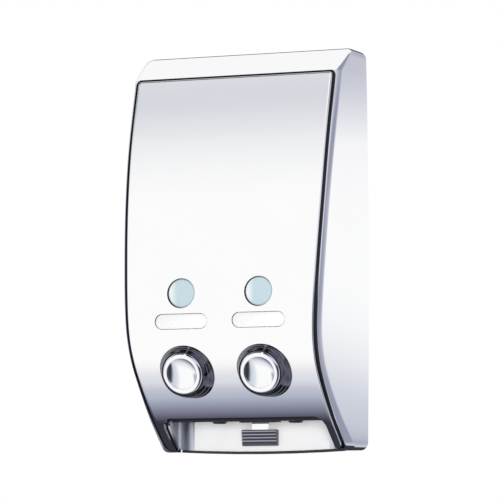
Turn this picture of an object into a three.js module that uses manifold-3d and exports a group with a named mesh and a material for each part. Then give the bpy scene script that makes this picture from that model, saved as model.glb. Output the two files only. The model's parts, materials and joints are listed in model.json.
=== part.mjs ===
// Wall-mounted twin liquid soap dispenser: a bright case that hinges up from its wall plate,
// over two refillable bottles, each with a push-button pump that doses into the alcove below.
// Millimetres. X runs to the right, Y into the wall and Z up. While the parts are made the
// wall plane is y = 0 and z = 0 is the lowest edge; the whole is centred in height at the end.
import * as THREE from "three";
import { mergeVertices } from "three/addons/utils/BufferGeometryUtils.js";
import Module from "manifold-3d";

const wasm = await Module();
wasm.setup();

// Overall size
const HEIGHT = 260;
const WALL_HALF = 73.6;

// Fits shared by all the pieces
const GAP = 0.3;
const CUT_OVER = 4;
const CASE_STEP = 17;
const BOTTLE_STEP = 32;
const ROUND_SEGMENTS = 24;
const FINE_SEGMENTS = 30;
const SMALL_SEGMENTS = 16;
const ARC_STEPS = 3;
const CURVE_SEGMENTS = 6;
const WIRE_SIDES = 5;
const COIL_STEPS = 8;

// Case shell
const CASE_WALL = 2.2;
const CASE_BOTTOM = 1.7;
const CASE_BACK_GAP = 0.5;
const BEVEL_LEAN = 1.2;
const BEVEL_HALF = WALL_HALF - BEVEL_LEAN;
const BEVEL_DROP = 5.6;
const LEDGE_DROP = 1.4;
const LEDGE_WIDTH = 0.8;
const TOP_CORNER = 4;
const FOOT_CORNER = 5;
const BEZEL_TOP_DEPTH = 23.8;
const GROOVE = 1.1;

// Front panel
const PANEL_INSET = 5.6;
const PANEL_HALF = WALL_HALF - PANEL_INSET;
const PANEL_TOP_DROP = 18.1;
const PANEL_TOP = HEIGHT - PANEL_TOP_DROP;
const PANEL_THICK = 3;
const PANEL_CORNER = 2;
const PANEL_EDGE = 1.2;

// Arch in the front, over the alcove
const LINER_INSET = 15.7;
const LINER_HALF = WALL_HALF - LINER_INSET;
const ARCH_INSET = 2.3;
const ARCH_HALF = LINER_HALF - ARCH_INSET;
const ARCH_TOP = 23;
const ARCH_CORNER = 6;

// Case hinge
const HINGE_DEPTH = 7;
const HINGE_DROP = 5.5;
const HINGE_Z = HEIGHT - HINGE_DROP;
const HINGE_EYE = 2.9;
const HINGE_PIN = 1.4;
const HINGE_INSET = 33.6;
const HINGE_X = WALL_HALF - HINGE_INSET;
const HINGE_EAR_WIDTH = 5;
const HINGE_LUG_WIDTH = 3.4;
const HINGE_ARM_FRONT = 2.6;
const HINGE_ARM_BACK = 2;
const HINGE_SWEEP = 6.5;

// Buttons, their collars and the line that each pump works along
const SPACING_HALF = 26.65;
const BUTTON_STAND = 8.5;
const BUTTON_Z = 49.4;
const BUTTON_TILT = THREE.MathUtils.degToRad(15);
const BUTTON_TRAVEL = 8;
const BUTTON_RADIUS = 14;
const BUTTON_WALL = 1.6;
const BUTTON_SKIRT = 12;
const BUTTON_SPARE = 0.5;
const LIP_RADIUS = 2.6;
const DISH_RADIUS = 10.8;
const DISH_DEPTH = 1.9;
const DISH_THICK = 2;
const DISH_STEP = 0.5;
const STEM_RADIUS = 4;
const CLIP_RADIUS = 6.2;
const CLIP_NECK = 2.9;
const CLIP_MOUTH = THREE.MathUtils.degToRad(36);
const COLLAR_RIM_SET = 2.6;
const COLLAR_RIM = 0.7;
const COLLAR_WALL = 1.6;
const COLLAR_WEB = 1.5;
const COLLAR_REACH = BUTTON_SKIRT + BUTTON_TRAVEL + BUTTON_SPARE + COLLAR_WEB;
const CLIP_SEAT = COLLAR_REACH + GAP;
const CLIP_THICK = 0.9;
const STEM_END = 2.5;
const STEM_REACH = CLIP_SEAT + CLIP_THICK + GAP + STEM_END;
const COLLAR_BASE_HALF = 19.7;
const COLLAR_BASE_RISE = 16.5;
const COLLAR_BASE_LIFT = 2.6;
const COLLAR_BASE_Z = BUTTON_Z + COLLAR_BASE_LIFT;
const COLLAR_EDGE = 0.4;
const COLLAR_FLARE_SHARES = [[0.29, 0.11], [0.62, 0.44]];
const COLLAR_SLICES = 36;
const SPRING_RADIUS = 7;
const SPRING_WIRE = 0.5;
const SPRING_TURNS = 4;

// Sight windows and label plates
const WINDOW_Z = 101.2;
const WINDOW_RADIUS = 9.3;
const WINDOW_FLANGE = 1.6;
const WINDOW_FLANGE_THICK = 1.2;
const LABEL_Z = 83.2;
const LABEL_LENGTH = 35.6;
const LABEL_HEIGHT = 9.4;
const LABEL_THICK = 1;
const LABEL_SINK = 0.3;

// Pumps. Their places are distances from the button's lip, back along the pump line
const PUMP_BORE = 6;
const PUMP_WALL = 1.6;
const PUMP_END_WALL = 1.5;
const PAD_RADIUS = 7;
const PAD_THICK = 2;
const ROD_RADIUS = 3;
const HEAD_RADIUS = 5.6;
const HEAD_SET = 5;
const HEAD_LENGTH = 6;
const HEAD_SPARE = 5;
const PISTON_SPRING_ROOM = 3.7;
const PISTON_START = STEM_REACH + GAP;
const PUMP_MOUTH = PISTON_START + PAD_THICK + BUTTON_TRAVEL + PISTON_SPRING_ROOM;
const HEAD_START = PUMP_MOUTH + HEAD_SET;
const PUMP_PORT = HEAD_START + HEAD_LENGTH + BUTTON_TRAVEL + HEAD_SPARE;
const PORT_DEPTH = 11.2;
const PORT_Z = BUTTON_Z + PUMP_PORT * Math.sin(BUTTON_TILT);
const PORT_BORE = 3.4;
const INLET_RISE = 11.3;
const INLET_RADIUS = 6;
const INLET_FLANGE = 8;
const INLET_FLANGE_THICK = 2;
const INLET_SOCKET = 4.9;
const INLET_SOCKET_DEPTH = 4;
const OUTLET_RADIUS = 4.2;
const OUTLET_BORE = 2.4;
const OUTLET_END_Z = 33;
const SEAL_TUBE = 0.55;
const SEAL_GROOVE = 1.5;
const BALL_RADIUS = 2.5;
const PISTON_SPRING_RADIUS = 4.6;
const PISTON_SPRING_WIRE = 0.4;
const PISTON_SPRING_TURNS = 3;

// Spouts
const SPOUT_WALL = 0.6;
const SPOUT_TOP_Z = 44;
const SPOUT_TIP_Z = 19.8;
const SPOUT_TIP_RADIUS = 4.4;
const SPOUT_TAPER = 3.5;
const SPOUT_BORE = 3.3;
const VALVE_FLANGE = 1;
const VALVE_REACH = 5;
const VALVE_TIP = 0.9;
const VALVE_WALL = 0.7;

// Bottles
const BOTTLE_BACK = 5.6;
const BOTTLE_INNER_X = 1.2;
const BOTTLE_SIDE_GAP = 6.9;
const BOTTLE_OUTER_X = WALL_HALF - CASE_WALL - BOTTLE_SIDE_GAP;
const BOTTLE_WALL = 1.6;
const BOTTLE_CORNER = 7;
const BOTTLE_FRONT_GAP = 4;
const BOTTLE_TOP_DROP = 20;
const BOTTLE_TOP_Z = HEIGHT - BOTTLE_TOP_DROP;
const NECK_RADIUS = 4.6;
const NECK_BORE = 2;
const NECK_LENGTH = 5.5;
const LID_THICK = 2;
const LID_PLUG = 4;
const LID_PLUG_WALL = 1.4;
const LID_TAB = 9;

// Bottle shelf
const SHELF_Z = PORT_Z + INLET_RISE;
const SHELF_THICK = 2.4;
const SHELF_FRONT_GAP = 12.5;
const SHELF_MARGIN = 0.5;
const SHELF_HALF = BOTTLE_OUTER_X + SHELF_MARGIN;
const SHELF_CORNER = 6;
const GUSSET_WIDTH = 2.4;
const GUSSET_DROP = 22;
const GUSSET_REACH = 34;
const GUSSET_INSET = 13;
const GUSSET_X = SHELF_HALF - GUSSET_INSET;

// Wall plate
const PLATE_THICK = 2.4;
const PLATE_TOP_DROP = 6;
const PLATE_TOP_Z = HINGE_Z - PLATE_TOP_DROP;
const PLATE_INSET = 5.2;
const PLATE_HALF = WALL_HALF - PLATE_INSET;
const PLATE_FOOT_INSET = 0.7;
const PLATE_FOOT_HALF = LINER_HALF - PLATE_FOOT_INSET;
const PLATE_FOOT_Z = 6.5;
const PLATE_CROWN = 1.7;
const PLATE_LIP_DEPTH = 5.6;
const PLATE_LIP = 1.4;
const RIM_INSET = 2.4;
const RIM_X = PLATE_HALF - RIM_INSET;
const RIM_THICK = 1.6;
const RIM_DEPTH = 8;
const RIM_END = 12;
const SCREW_INSET = 23.4;
const SCREW_X = PLATE_HALF - SCREW_INSET;
const SCREW_LOW_Z = 112;
const SCREW_HIGH_DROP = 46;
const SCREW_HIGH_Z = HEIGHT - SCREW_HIGH_DROP;
const SCREW_RADIUS = 2;
const SCREW_HEAD = 4.2;
const SCREW_HEAD_THICK = 2.2;
const SCREW_SLOT = 1;
const LUG_HALF = 6;
const LUG_THICK = 2;
const LUG_DEPTH = 9;

// Alcove liner
const LINER_THICK = 1.6;
const LINER_CORNER = 8.7;
const DECK_Z = 24.3;
const DECK_THICK = 1.8;
const GUIDE_HALF = 13.5;
const GUIDE_DEPTH = 9.5;

// Latch
const LATCH_TRAVEL = 4;
const THUMB_HALF = 12.2;
const THUMB_LOW_Z = 5.3;
const THUMB_HEIGHT = 10.4;
const THUMB_LOW_DEPTH = 8;
const THUMB_TOP_DEPTH = 9.4;
const THUMB_RIBS = 5;
const THUMB_RIB_DEPTH = 0.8;
const THUMB_CLEAR = 0.8;
const GUIDE_LOW_Z = THUMB_LOW_Z + THUMB_HEIGHT + LATCH_TRAVEL + THUMB_CLEAR;
const SLIDER_HALF = 6;
const SLIDER_SHOULDER = 8.5;
const SLIDER_THICK = 2.2;
const SLIDER_TOP_Z = 40;
const TOOTH_LOW_Z = 30.3;
const TOOTH_HEIGHT = 3;
const TOOTH_THICK = 1.7;
const HOOK_THICK = 2.7;
const HOOK_GAP = 4;
const LATCH_SPRING_RADIUS = 2.2;
const LATCH_SPRING_WIRE = 0.35;
const LATCH_SPRING_TURNS = 5;
const LATCH_SPRING_LENGTH = 10;

// Catch tongue of the case
const TONGUE_HALF = 12;
const TONGUE_THICK = 1.6;
const TONGUE_LIFT = 1.4;
const TONGUE_LIP = 1.9;
const TONGUE_FLANGE = 12;

// Shares of the height, each with a share of the greatest depth or half width
const FRONT_SHARES = [
  [0, 0.188], [0.096, 0.564], [0.192, 0.848], [0.262, 0.966], [0.335, 1],
  [0.46, 0.977], [0.615, 0.913], [0.769, 0.817], [0.93, 0.666],
];
const PANEL_SHARES = [
  [0, 0.903], [0.115, 0.91], [0.192, 0.916], [0.308, 0.937], [0.46, 0.962],
  [0.615, 0.985], [0.769, 0.996], [1, 0.998],
];
const BEVEL_SHARES = [
  [0, 0.934], [0.192, 0.917], [0.385, 0.945], [0.577, 0.972], [0.769, 0.993], [1, 1],
];
const WALL_SHARES = [
  [0, 0.986], [0.35, 1], [0.6, 1], [0.85, 0.992], [1, 0.983],
];

// Finishes
const finish = (color, roughness, metalness, opacity = 1) =>
  new THREE.MeshStandardMaterial({ color, roughness, metalness, opacity, transparent: opacity < 1 });
const chrome = finish(0xe9ebf0, 0.06, 1);
const panelChrome = finish(0xf1f3f8, 0.04, 1);
const liner = finish(0xf4f5f8, 0.12, 1);
const steel = finish(0xb9bcc2, 0.3, 1);
const darkPlastic = finish(0x4b4b55, 0.45, 0);
const whitePlastic = finish(0xf5f5f3, 0.4, 0);
const label = finish(0xffffff, 0.35, 0);
const blueGlass = finish(0xc4dfe6, 0.08, 0, 0.8);
const bottlePlastic = finish(0xe6eef2, 0.25, 0, 0.6);
const rubber = finish(0x3c3f44, 0.7, 0);

const group = new THREE.Group();

// A smooth curve through pairs of a height and a value, run on straight past its ends
function curveThrough(shares, size) {
  const points = shares.map(([at, share]) => [at * HEIGHT, share * size]);
  const grade = (i, j) => (points[j][1] - points[i][1]) / (points[j][0] - points[i][0]);
  const last = points.length - 1;
  const tangents = points.map((_, i) => grade(Math.max(i - 1, 0), Math.min(i + 1, last)));
  return (z) => {
    if (z <= points[0][0]) return points[0][1] + grade(0, 1) * (z - points[0][0]);
    if (z >= points[last][0]) return points[last][1] + grade(last - 1, last) * (z - points[last][0]);
    const i = points.findIndex(([at]) => at > z) - 1;
    const run = points[i + 1][0] - points[i][0];
    const t = (z - points[i][0]) / run;
    const [t2, t3] = [t * t, t * t * t];
    return (2 * t3 - 3 * t2 + 1) * points[i][1] + (t3 - 2 * t2 + t) * run * tangents[i]
      + (3 * t2 - 2 * t3) * points[i + 1][1] + (t3 - t2) * run * tangents[i + 1];
  };
}

// The case is as deep as the buttons and the pumps behind them need
const BUTTON_DEPTH = PORT_DEPTH + PUMP_PORT * Math.cos(BUTTON_TILT);
const BELLY_DEPTH = (BUTTON_DEPTH - BUTTON_STAND) / curveThrough(FRONT_SHARES, 1)(COLLAR_BASE_Z);
const frontDepth = curveThrough(FRONT_SHARES, BELLY_DEPTH);
const panelHalf = curveThrough(PANEL_SHARES, PANEL_HALF);
const bevelHalf = curveThrough(BEVEL_SHARES, BEVEL_HALF);
const wallHalf = curveThrough(WALL_SHARES, WALL_HALF);

// How much longer a wall is when cut level than when cut square, where the front slopes
const slant = (z) => Math.hypot(1, (frontDepth(z + LEDGE_WIDTH) - frontDepth(z)) / LEDGE_WIDTH);
const BEZEL_LOW_Z = PANEL_TOP + GROOVE;
const ledgeDepth = (z) => frontDepth(z) - LEDGE_DROP * slant(z);
const bezelShare = (z) => THREE.MathUtils.clamp((z - BEZEL_LOW_Z) / (HEIGHT - BEZEL_LOW_Z), 0, 1);
const caseDepth = (z) => z < BEZEL_LOW_Z ? ledgeDepth(z)
  : THREE.MathUtils.lerp(ledgeDepth(BEZEL_LOW_Z), BEZEL_TOP_DEPTH, bezelShare(z));
const bevelDepth = (z) => caseDepth(z)
  - (BEVEL_DROP - LEDGE_DROP) * (1 + slant(Math.min(z, BEZEL_LOW_Z))) / 2 * (1 - bezelShare(z) / 2);
const BEZEL_SLANT = Math.hypot(1, (ledgeDepth(BEZEL_LOW_Z) - BEZEL_TOP_DEPTH) / (HEIGHT - BEZEL_LOW_Z));
const SKIN = PANEL_THICK + GAP + CASE_WALL;
const cavityDepth = (z) => Math.min(frontDepth(z) - SKIN * slant(z),
  z < BEZEL_LOW_Z ? Infinity : caseDepth(z) - CASE_WALL * BEZEL_SLANT);
const SHELF_DEPTH = cavityDepth(SHELF_Z) - SHELF_FRONT_GAP;

// A geometry as a closed solid that joins and cuts, turned right way out
function solid(geometry) {
  const bare = new THREE.BufferGeometry().setAttribute("position",
    (geometry.index ? geometry.toNonIndexed() : geometry).getAttribute("position"));
  const merged = mergeVertices(bare);
  const index = Array.from(merged.index.array);
  const corners = [];
  for (let i = 0; i < index.length; i += 3) {
    const [a, b, c] = index.slice(i, i + 3);
    if (a !== b && b !== c && c !== a) corners.push(a, b, c);
  }
  const make = (triVerts) => new wasm.Manifold(new wasm.Mesh({
    numProp: 3, vertProperties: merged.attributes.position.array, triVerts: new Uint32Array(triVerts),
  }));
  const made = make(corners);
  return made.volume() > 0 ? made : make(corners.reverse());
}

// A solid as one named mesh of the dispenser
function piece(name, body, material) {
  const { vertProperties, triVerts, numProp, numVert } = body.getMesh();
  const positions = new Float32Array(numVert * 3);
  for (let i = 0; i < numVert; i++)
    positions.set(vertProperties.subarray(i * numProp, i * numProp + 3), i * 3);
  const geometry = new THREE.BufferGeometry()
    .setAttribute("position", new THREE.BufferAttribute(positions, 3))
    .setIndex(new THREE.BufferAttribute(triVerts, 1));
  geometry.computeVertexNormals();
  const mesh = new THREE.Mesh(geometry, material);
  mesh.name = name;
  group.add(mesh);
  return body;
}

// Rings of points joined in order, with flat ends, or end to start where it closes on itself
function bridge(rings, closes) {
  const count = rings[0].length;
  const positions = rings.flat().flatMap((p) => [p.x, p.y, p.z]);
  const index = [];
  const spans = closes ? rings.length : rings.length - 1;
  for (let i = 0; i < spans; i++) {
    const [here, next] = [i * count, ((i + 1) % rings.length) * count];
    for (let j = 0; j < count; j++) {
      const k = (j + 1) % count;
      index.push(here + j, here + k, next + k, here + j, next + k, next + j);
    }
  }
  if (!closes) {
    const flat = (ring) =>
      THREE.ShapeUtils.triangulateShape(ring.map((p) => new THREE.Vector2(p.x, p.y)), []);
    const end = (rings.length - 1) * count;
    flat(rings[0]).forEach(([a, b, c]) => index.push(a, c, b));
    flat(rings.at(-1)).forEach(([a, b, c]) => index.push(end + a, end + b, end + c));
  }
  return new THREE.BufferGeometry()
    .setAttribute("position", new THREE.Float32BufferAttribute(positions, 3)).setIndex(index);
}

// Level outlines, one for each height, joined into a solid
function loft(levels, outlineAt) {
  const rings = levels.map((z) => outlineAt(z).map(([x, y]) => new THREE.Vector3(x, y, z)));
  if (THREE.ShapeUtils.isClockWise(rings[0])) rings.forEach((ring) => ring.reverse());
  return solid(bridge(rings, false));
}

// The right half of a level outline, from back to front, with its mirror image
const mirrored = (half) => [...half, ...half.map(([x, y]) => [-x, y]).reverse()];

// Heights from low to high in even steps, close together where a corner is rounded
function heights(low, high, step, lowCorner = 0, highCorner = 0, extra = []) {
  const bend = (r) => Array.from({ length: ARC_STEPS + 1 }, (_, i) =>
    r * (1 - Math.cos(Math.PI / 2 * i / (ARC_STEPS + 1))));
  const [from, to] = [low + lowCorner, high - highCorner];
  const steps = Math.max(1, Math.round((to - from) / step));
  const even = Array.from({ length: steps + 1 }, (_, i) => from + (to - from) * i / steps);
  const all = [
    ...(lowCorner ? bend(lowCorner).map((d) => low + d) : []), ...even,
    ...(highCorner ? bend(highCorner).map((d) => high - d) : []), ...extra,
  ].sort((a, b) => a - b);
  return all.filter((z, i) => i === 0 || z - all[i - 1] > GAP / 2);
}

// How far a rounded corner of radius r has drawn in, a height h short of its end
const drawnIn = (r, h) => h >= r ? 0 : r - Math.sqrt(r * r - (r - h) * (r - h));

const extruded = (shape, depth, curveSegments = CURVE_SEGMENTS) =>
  new THREE.ExtrudeGeometry(shape, { depth, bevelEnabled: false, curveSegments });

// An outline in X and Z, extruded outwards from one depth to another
function fromWall(shape, near, far) {
  const geometry = extruded(shape, far - near);
  geometry.applyMatrix4(new THREE.Matrix4().makeBasis(
    new THREE.Vector3(1, 0, 0), new THREE.Vector3(0, 0, 1), new THREE.Vector3(0, -1, 0)));
  return solid(geometry.translate(0, -near, 0));
}

// A side profile in depth and height, extruded across from one x to another
function across(profile, left, right) {
  const geometry = extruded(profile, right - left);
  geometry.applyMatrix4(new THREE.Matrix4().makeBasis(
    new THREE.Vector3(0, -1, 0), new THREE.Vector3(0, 0, 1), new THREE.Vector3(-1, 0, 0)));
  return solid(geometry.translate(right, 0, 0));
}

// A plan outline in X and Y, extruded upwards
const upwards = (plan, low, high) => solid(extruded(plan, high - low).translate(0, 0, low));

const polygon = (points) => new THREE.Shape(points.map(([x, y]) => new THREE.Vector2(x, y)));
const block = (x0, x1, near, far, low, high) =>
  fromWall(polygon([[x0, low], [x1, low], [x1, high], [x0, high]]), near, far);

// A rectangle with rounded corners, drawn between two corners
function roundedShape(x0, y0, x1, y1, r) {
  const shape = new THREE.Shape();
  shape.absarc(x1 - r, y1 - r, r, 0, Math.PI / 2);
  shape.absarc(x0 + r, y1 - r, r, Math.PI / 2, Math.PI);
  shape.absarc(x0 + r, y0 + r, r, Math.PI, Math.PI * 1.5);
  shape.absarc(x1 - r, y0 + r, r, Math.PI * 1.5, Math.PI * 2);
  return shape;
}

// A profile of radius and height turned about an upright line
function turned(profile, x, depth, segments = SMALL_SEGMENTS) {
  const geometry = new THREE.LatheGeometry(profile.map(([r, h]) => new THREE.Vector2(r, h)), segments);
  geometry.applyMatrix4(new THREE.Matrix4().makeRotationX(Math.PI / 2));
  return solid(geometry.translate(x, -depth, 0));
}

// Places in the frame of a pump line: out is measured from the button's lip towards the user
const pumpFrame = (side) => new THREE.Matrix4()
  .makeRotationX(Math.PI + BUTTON_TILT)
  .setPosition(side * SPACING_HALF, -BUTTON_DEPTH, BUTTON_Z);

// A profile of radius and distance out, turned about the pump line
function onPumpLine(side, profile, segments = ROUND_SEGMENTS) {
  const geometry = new THREE.LatheGeometry(profile.map(([r, out]) => new THREE.Vector2(r, out)), segments);
  return solid(geometry.applyMatrix4(pumpFrame(side)));
}

// A coil of wire along the local Y axis, its ends cut square
function coil(radius, wire, turns, length) {
  const path = new THREE.Curve();
  const rise = length - 2 * wire;
  path.getPoint = (t, target = new THREE.Vector3()) => target.set(
    radius * Math.cos(2 * Math.PI * turns * t), wire + rise * t, radius * Math.sin(2 * Math.PI * turns * t));
  const around = (i) => 2 * Math.PI * i / WIRE_SIDES;
  const section = new THREE.Shape(Array.from({ length: WIRE_SIDES }, (_, i) =>
    new THREE.Vector2(wire * Math.cos(around(i)), wire * Math.sin(around(i)))));
  return new THREE.ExtrudeGeometry(section,
    { steps: COIL_STEPS * turns, extrudePath: path, bevelEnabled: false });
}

// The case shell

const hingeBack = (z) => z <= HINGE_Z ? CASE_BACK_GAP
  : HINGE_DEPTH - Math.sqrt(HINGE_SWEEP * HINGE_SWEEP - (z - HINGE_Z) * (z - HINGE_Z));

function caseOutline(z) {
  const inset = drawnIn(TOP_CORNER, HEIGHT - z) + drawnIn(FOOT_CORNER, z - CASE_BOTTOM);
  const ledgeHalf = panelHalf(z) + GROOVE + LEDGE_WIDTH;
  return mirrored([
    [wallHalf(z) - inset, -hingeBack(z)],
    [bevelHalf(z) - inset, -bevelDepth(z)],
    [Math.min(ledgeHalf, bevelHalf(z) - LEDGE_WIDTH) - inset, -caseDepth(z)],
  ]);
}

function cavityOutline(z) {
  return mirrored([
    [wallHalf(z) - CASE_WALL, CUT_OVER],
    [bevelHalf(z) - CASE_WALL, -(bevelDepth(z) - CASE_WALL / 2 * slant(z))],
    [panelHalf(z) - CASE_WALL / 2, -cavityDepth(z)],
  ]);
}

function recessOutline(z) {
  const half = panelHalf(z) + GROOVE - drawnIn(PANEL_CORNER + GROOVE, BEZEL_LOW_Z - z)
    - drawnIn(FOOT_CORNER, z - CASE_BOTTOM);
  return mirrored([
    [half, -(frontDepth(z) - (PANEL_THICK + GAP) * slant(z))],
    [half, -(BELLY_DEPTH + CUT_OVER)],
  ]);
}

// What lies behind the front wall between two heights, less a clearance
const behindFront = (half, clearance, low, high) => loft(heights(low, high, CASE_STEP / 4), (z) => {
  const depth = cavityDepth(z) - clearance;
  return [[half, CUT_OVER], [-half, CUT_OVER], [-half, -depth], [half, -depth]];
});

const archShape = roundedShape(-ARCH_HALF, -ARCH_TOP, ARCH_HALF, ARCH_TOP, ARCH_CORNER);
const archCut = () => fromWall(archShape, -CUT_OVER, BELLY_DEPTH);

// Round holes through the front: one for each sight window and one for each collar
const windowCut = (side) => {
  const hole = new THREE.Shape().absarc(side * SPACING_HALF, WINDOW_Z, WINDOW_RADIUS + GAP, 0, 2 * Math.PI);
  return fromWall(hole, frontDepth(WINDOW_Z) / 2, BELLY_DEPTH + CUT_OVER);
};
const SLEEVE_RADIUS = BUTTON_RADIUS + GAP + COLLAR_WALL;
const collarCut = (side) => onPumpLine(side, [
  [0, -COLLAR_REACH - CUT_OVER], [SLEEVE_RADIUS + GAP, -COLLAR_REACH - CUT_OVER],
  [SLEEVE_RADIUS + GAP, CUT_OVER], [0, CUT_OVER],
]);

// The eye of a hinge part, on an arm that runs to the given corners
function hingeProfile(corners, hole) {
  const eye = new THREE.Shape().absarc(HINGE_DEPTH, HINGE_Z, HINGE_EYE, 0, 2 * Math.PI);
  const bore = new THREE.Shape().absarc(HINGE_DEPTH, HINGE_Z, hole, 0, 2 * Math.PI);
  return (left, right) => across(eye, left, right).add(across(polygon(corners), left, right))
    .subtract(across(bore, left - CUT_OVER, right + CUT_OVER));
}

function coverShell() {
  const recessFoot = CASE_BOTTOM + CASE_WALL / 2;
  const outside = heights(CASE_BOTTOM, HEIGHT, CASE_STEP, FOOT_CORNER, TOP_CORNER, [BEZEL_LOW_Z, HINGE_Z]);
  const inside = heights(CASE_BOTTOM + CASE_WALL, HEIGHT - CASE_WALL, CASE_STEP, 0, 0, [BEZEL_LOW_Z]);
  const recess = heights(recessFoot, BEZEL_LOW_Z, CASE_STEP, 0, PANEL_CORNER + GROOVE);
  let shell = loft(outside, caseOutline)
    .subtract(loft(inside, cavityOutline))
    .subtract(loft(recess, recessOutline))
    .subtract(archCut())
    .subtract(behindFront(LINER_HALF + GAP, 0, 0, CASE_BOTTOM + 2 * CASE_WALL));
  for (const side of [-1, 1]) {
    shell = shell.subtract(windowCut(side)).subtract(collarCut(side));
    const lug = hingeProfile([
      [HINGE_DEPTH - HINGE_EYE, HINGE_Z], [HINGE_DEPTH + HINGE_EYE, HINGE_Z],
      [HINGE_DEPTH + HINGE_EYE, HEIGHT - CASE_WALL / 2], [HINGE_DEPTH - HINGE_EYE, HEIGHT - CASE_WALL / 2],
    ], HINGE_PIN + GAP);
    for (const way of [-1, 1]) {
      const near = side * HINGE_X + way * (HINGE_EAR_WIDTH / 2 + GAP);
      const far = near + way * HINGE_LUG_WIDTH;
      shell = shell.add(lug(Math.min(near, far), Math.max(near, far)));
    }
  }
  piece("cover_shell", shell, chrome);
}

// The raised front panel

function panelOutline(z) {
  const low = CASE_BOTTOM + CASE_WALL / 2 + GAP;
  const half = panelHalf(z) - drawnIn(PANEL_CORNER, PANEL_TOP - z) - drawnIn(FOOT_CORNER, z - CASE_BOTTOM);
  const roll = drawnIn(PANEL_EDGE, PANEL_TOP - z) + drawnIn(PANEL_EDGE, z - low);
  const front = frontDepth(z) - roll;
  const back = frontDepth(z) - PANEL_THICK * slant(z);
  return mirrored([
    [half, -back], [half, -(front - PANEL_EDGE)],
    [half - drawnIn(PANEL_EDGE, PANEL_EDGE / 2), -(front - PANEL_EDGE / 2)],
    [half - PANEL_EDGE, -front],
  ]);
}

function frontPanel() {
  const low = CASE_BOTTOM + CASE_WALL / 2 + GAP;
  let panel = loft(heights(low, PANEL_TOP, CASE_STEP, PANEL_EDGE, PANEL_CORNER), panelOutline)
    .subtract(archCut());
  const pill = (side) => roundedShape(
    side * SPACING_HALF - LABEL_LENGTH / 2 - GAP, LABEL_Z - LABEL_HEIGHT / 2 - GAP,
    side * SPACING_HALF + LABEL_LENGTH / 2 + GAP, LABEL_Z + LABEL_HEIGHT / 2 + GAP, LABEL_HEIGHT / 2 + GAP);
  for (const side of [-1, 1])
    panel = panel.subtract(windowCut(side)).subtract(collarCut(side)).subtract(
      fromWall(pill(side), frontDepth(LABEL_Z) - LABEL_SINK - LABEL_THICK - GAP, BELLY_DEPTH + CUT_OVER));
  piece("front_panel", panel, panelChrome);
}

// Sight window, with a flange behind the case
function sightWindow(name, side) {
  const front = frontDepth(WINDOW_Z) - LABEL_SINK;
  const seat = cavityDepth(WINDOW_Z + WINDOW_RADIUS + WINDOW_FLANGE) - GAP;
  const disc = (r) => new THREE.Shape().absarc(side * SPACING_HALF, WINDOW_Z, r, 0, 2 * Math.PI);
  piece(name, fromWall(disc(WINDOW_RADIUS), seat - WINDOW_FLANGE_THICK, front)
    .add(fromWall(disc(WINDOW_RADIUS + WINDOW_FLANGE), seat - WINDOW_FLANGE_THICK, seat)), blueGlass);
}

function labelPlate(name, side) {
  const plate = roundedShape(
    side * SPACING_HALF - LABEL_LENGTH / 2, LABEL_Z - LABEL_HEIGHT / 2,
    side * SPACING_HALF + LABEL_LENGTH / 2, LABEL_Z + LABEL_HEIGHT / 2, LABEL_HEIGHT / 2);
  const front = frontDepth(LABEL_Z) - LABEL_SINK;
  piece(name, fromWall(plate, front - LABEL_THICK, front), label);
}

// The flared collar: its rim is square to the button, and its foot follows the front panel
function buttonCollar(name, side) {
  const bore = BUTTON_RADIUS + GAP;
  const frame = pumpFrame(side);
  const toLine = frame.clone().invert();
  const slices = [];
  for (let i = 0; i < COLLAR_SLICES; i++) {
    const turn = 2 * Math.PI * i / COLLAR_SLICES;
    const ring = (r, out, angle) =>
      new THREE.Vector3(r * Math.sin(angle), out, -r * Math.cos(angle)).applyMatrix4(frame);
    const around = (r, out) => ring(r, out, turn);
    const onPanel = (half, rise) => {
      const z = COLLAR_BASE_Z + rise * Math.cos(turn);
      return new THREE.Vector3(side * SPACING_HALF + half * Math.sin(turn), -frontDepth(z) - GAP, z);
    };
    const foot = onPanel(COLLAR_BASE_HALF, COLLAR_BASE_RISE).applyMatrix4(toLine);
    const footRadius = Math.hypot(foot.x, foot.z);
    const neck = onPanel(COLLAR_BASE_HALF * (SLEEVE_RADIUS / footRadius), COLLAR_BASE_RISE
      * (SLEEVE_RADIUS / footRadius)).applyMatrix4(toLine);
    const aim = Math.atan2(foot.x, -foot.z);
    const spread = (r, out) => ring(r, out, aim);
    const rim = bore + COLLAR_RIM;
    const flare = COLLAR_FLARE_SHARES.map(([across, down]) => spread(
      THREE.MathUtils.lerp(rim, footRadius, across),
      THREE.MathUtils.lerp(-COLLAR_RIM_SET, foot.y, down)));
    slices.push([
      around(bore, -COLLAR_RIM_SET), around(rim, -COLLAR_RIM_SET), ...flare,
      spread(footRadius, foot.y + COLLAR_EDGE), spread(footRadius, foot.y),
      spread(SLEEVE_RADIUS, neck.y),
      around(SLEEVE_RADIUS, -COLLAR_REACH), around(STEM_RADIUS + GAP, -COLLAR_REACH),
      around(STEM_RADIUS + GAP, -COLLAR_REACH + COLLAR_WEB), around(bore, -COLLAR_REACH + COLLAR_WEB),
    ]);
  }
  piece(name, solid(bridge(slices, true)), chrome);
}

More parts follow.
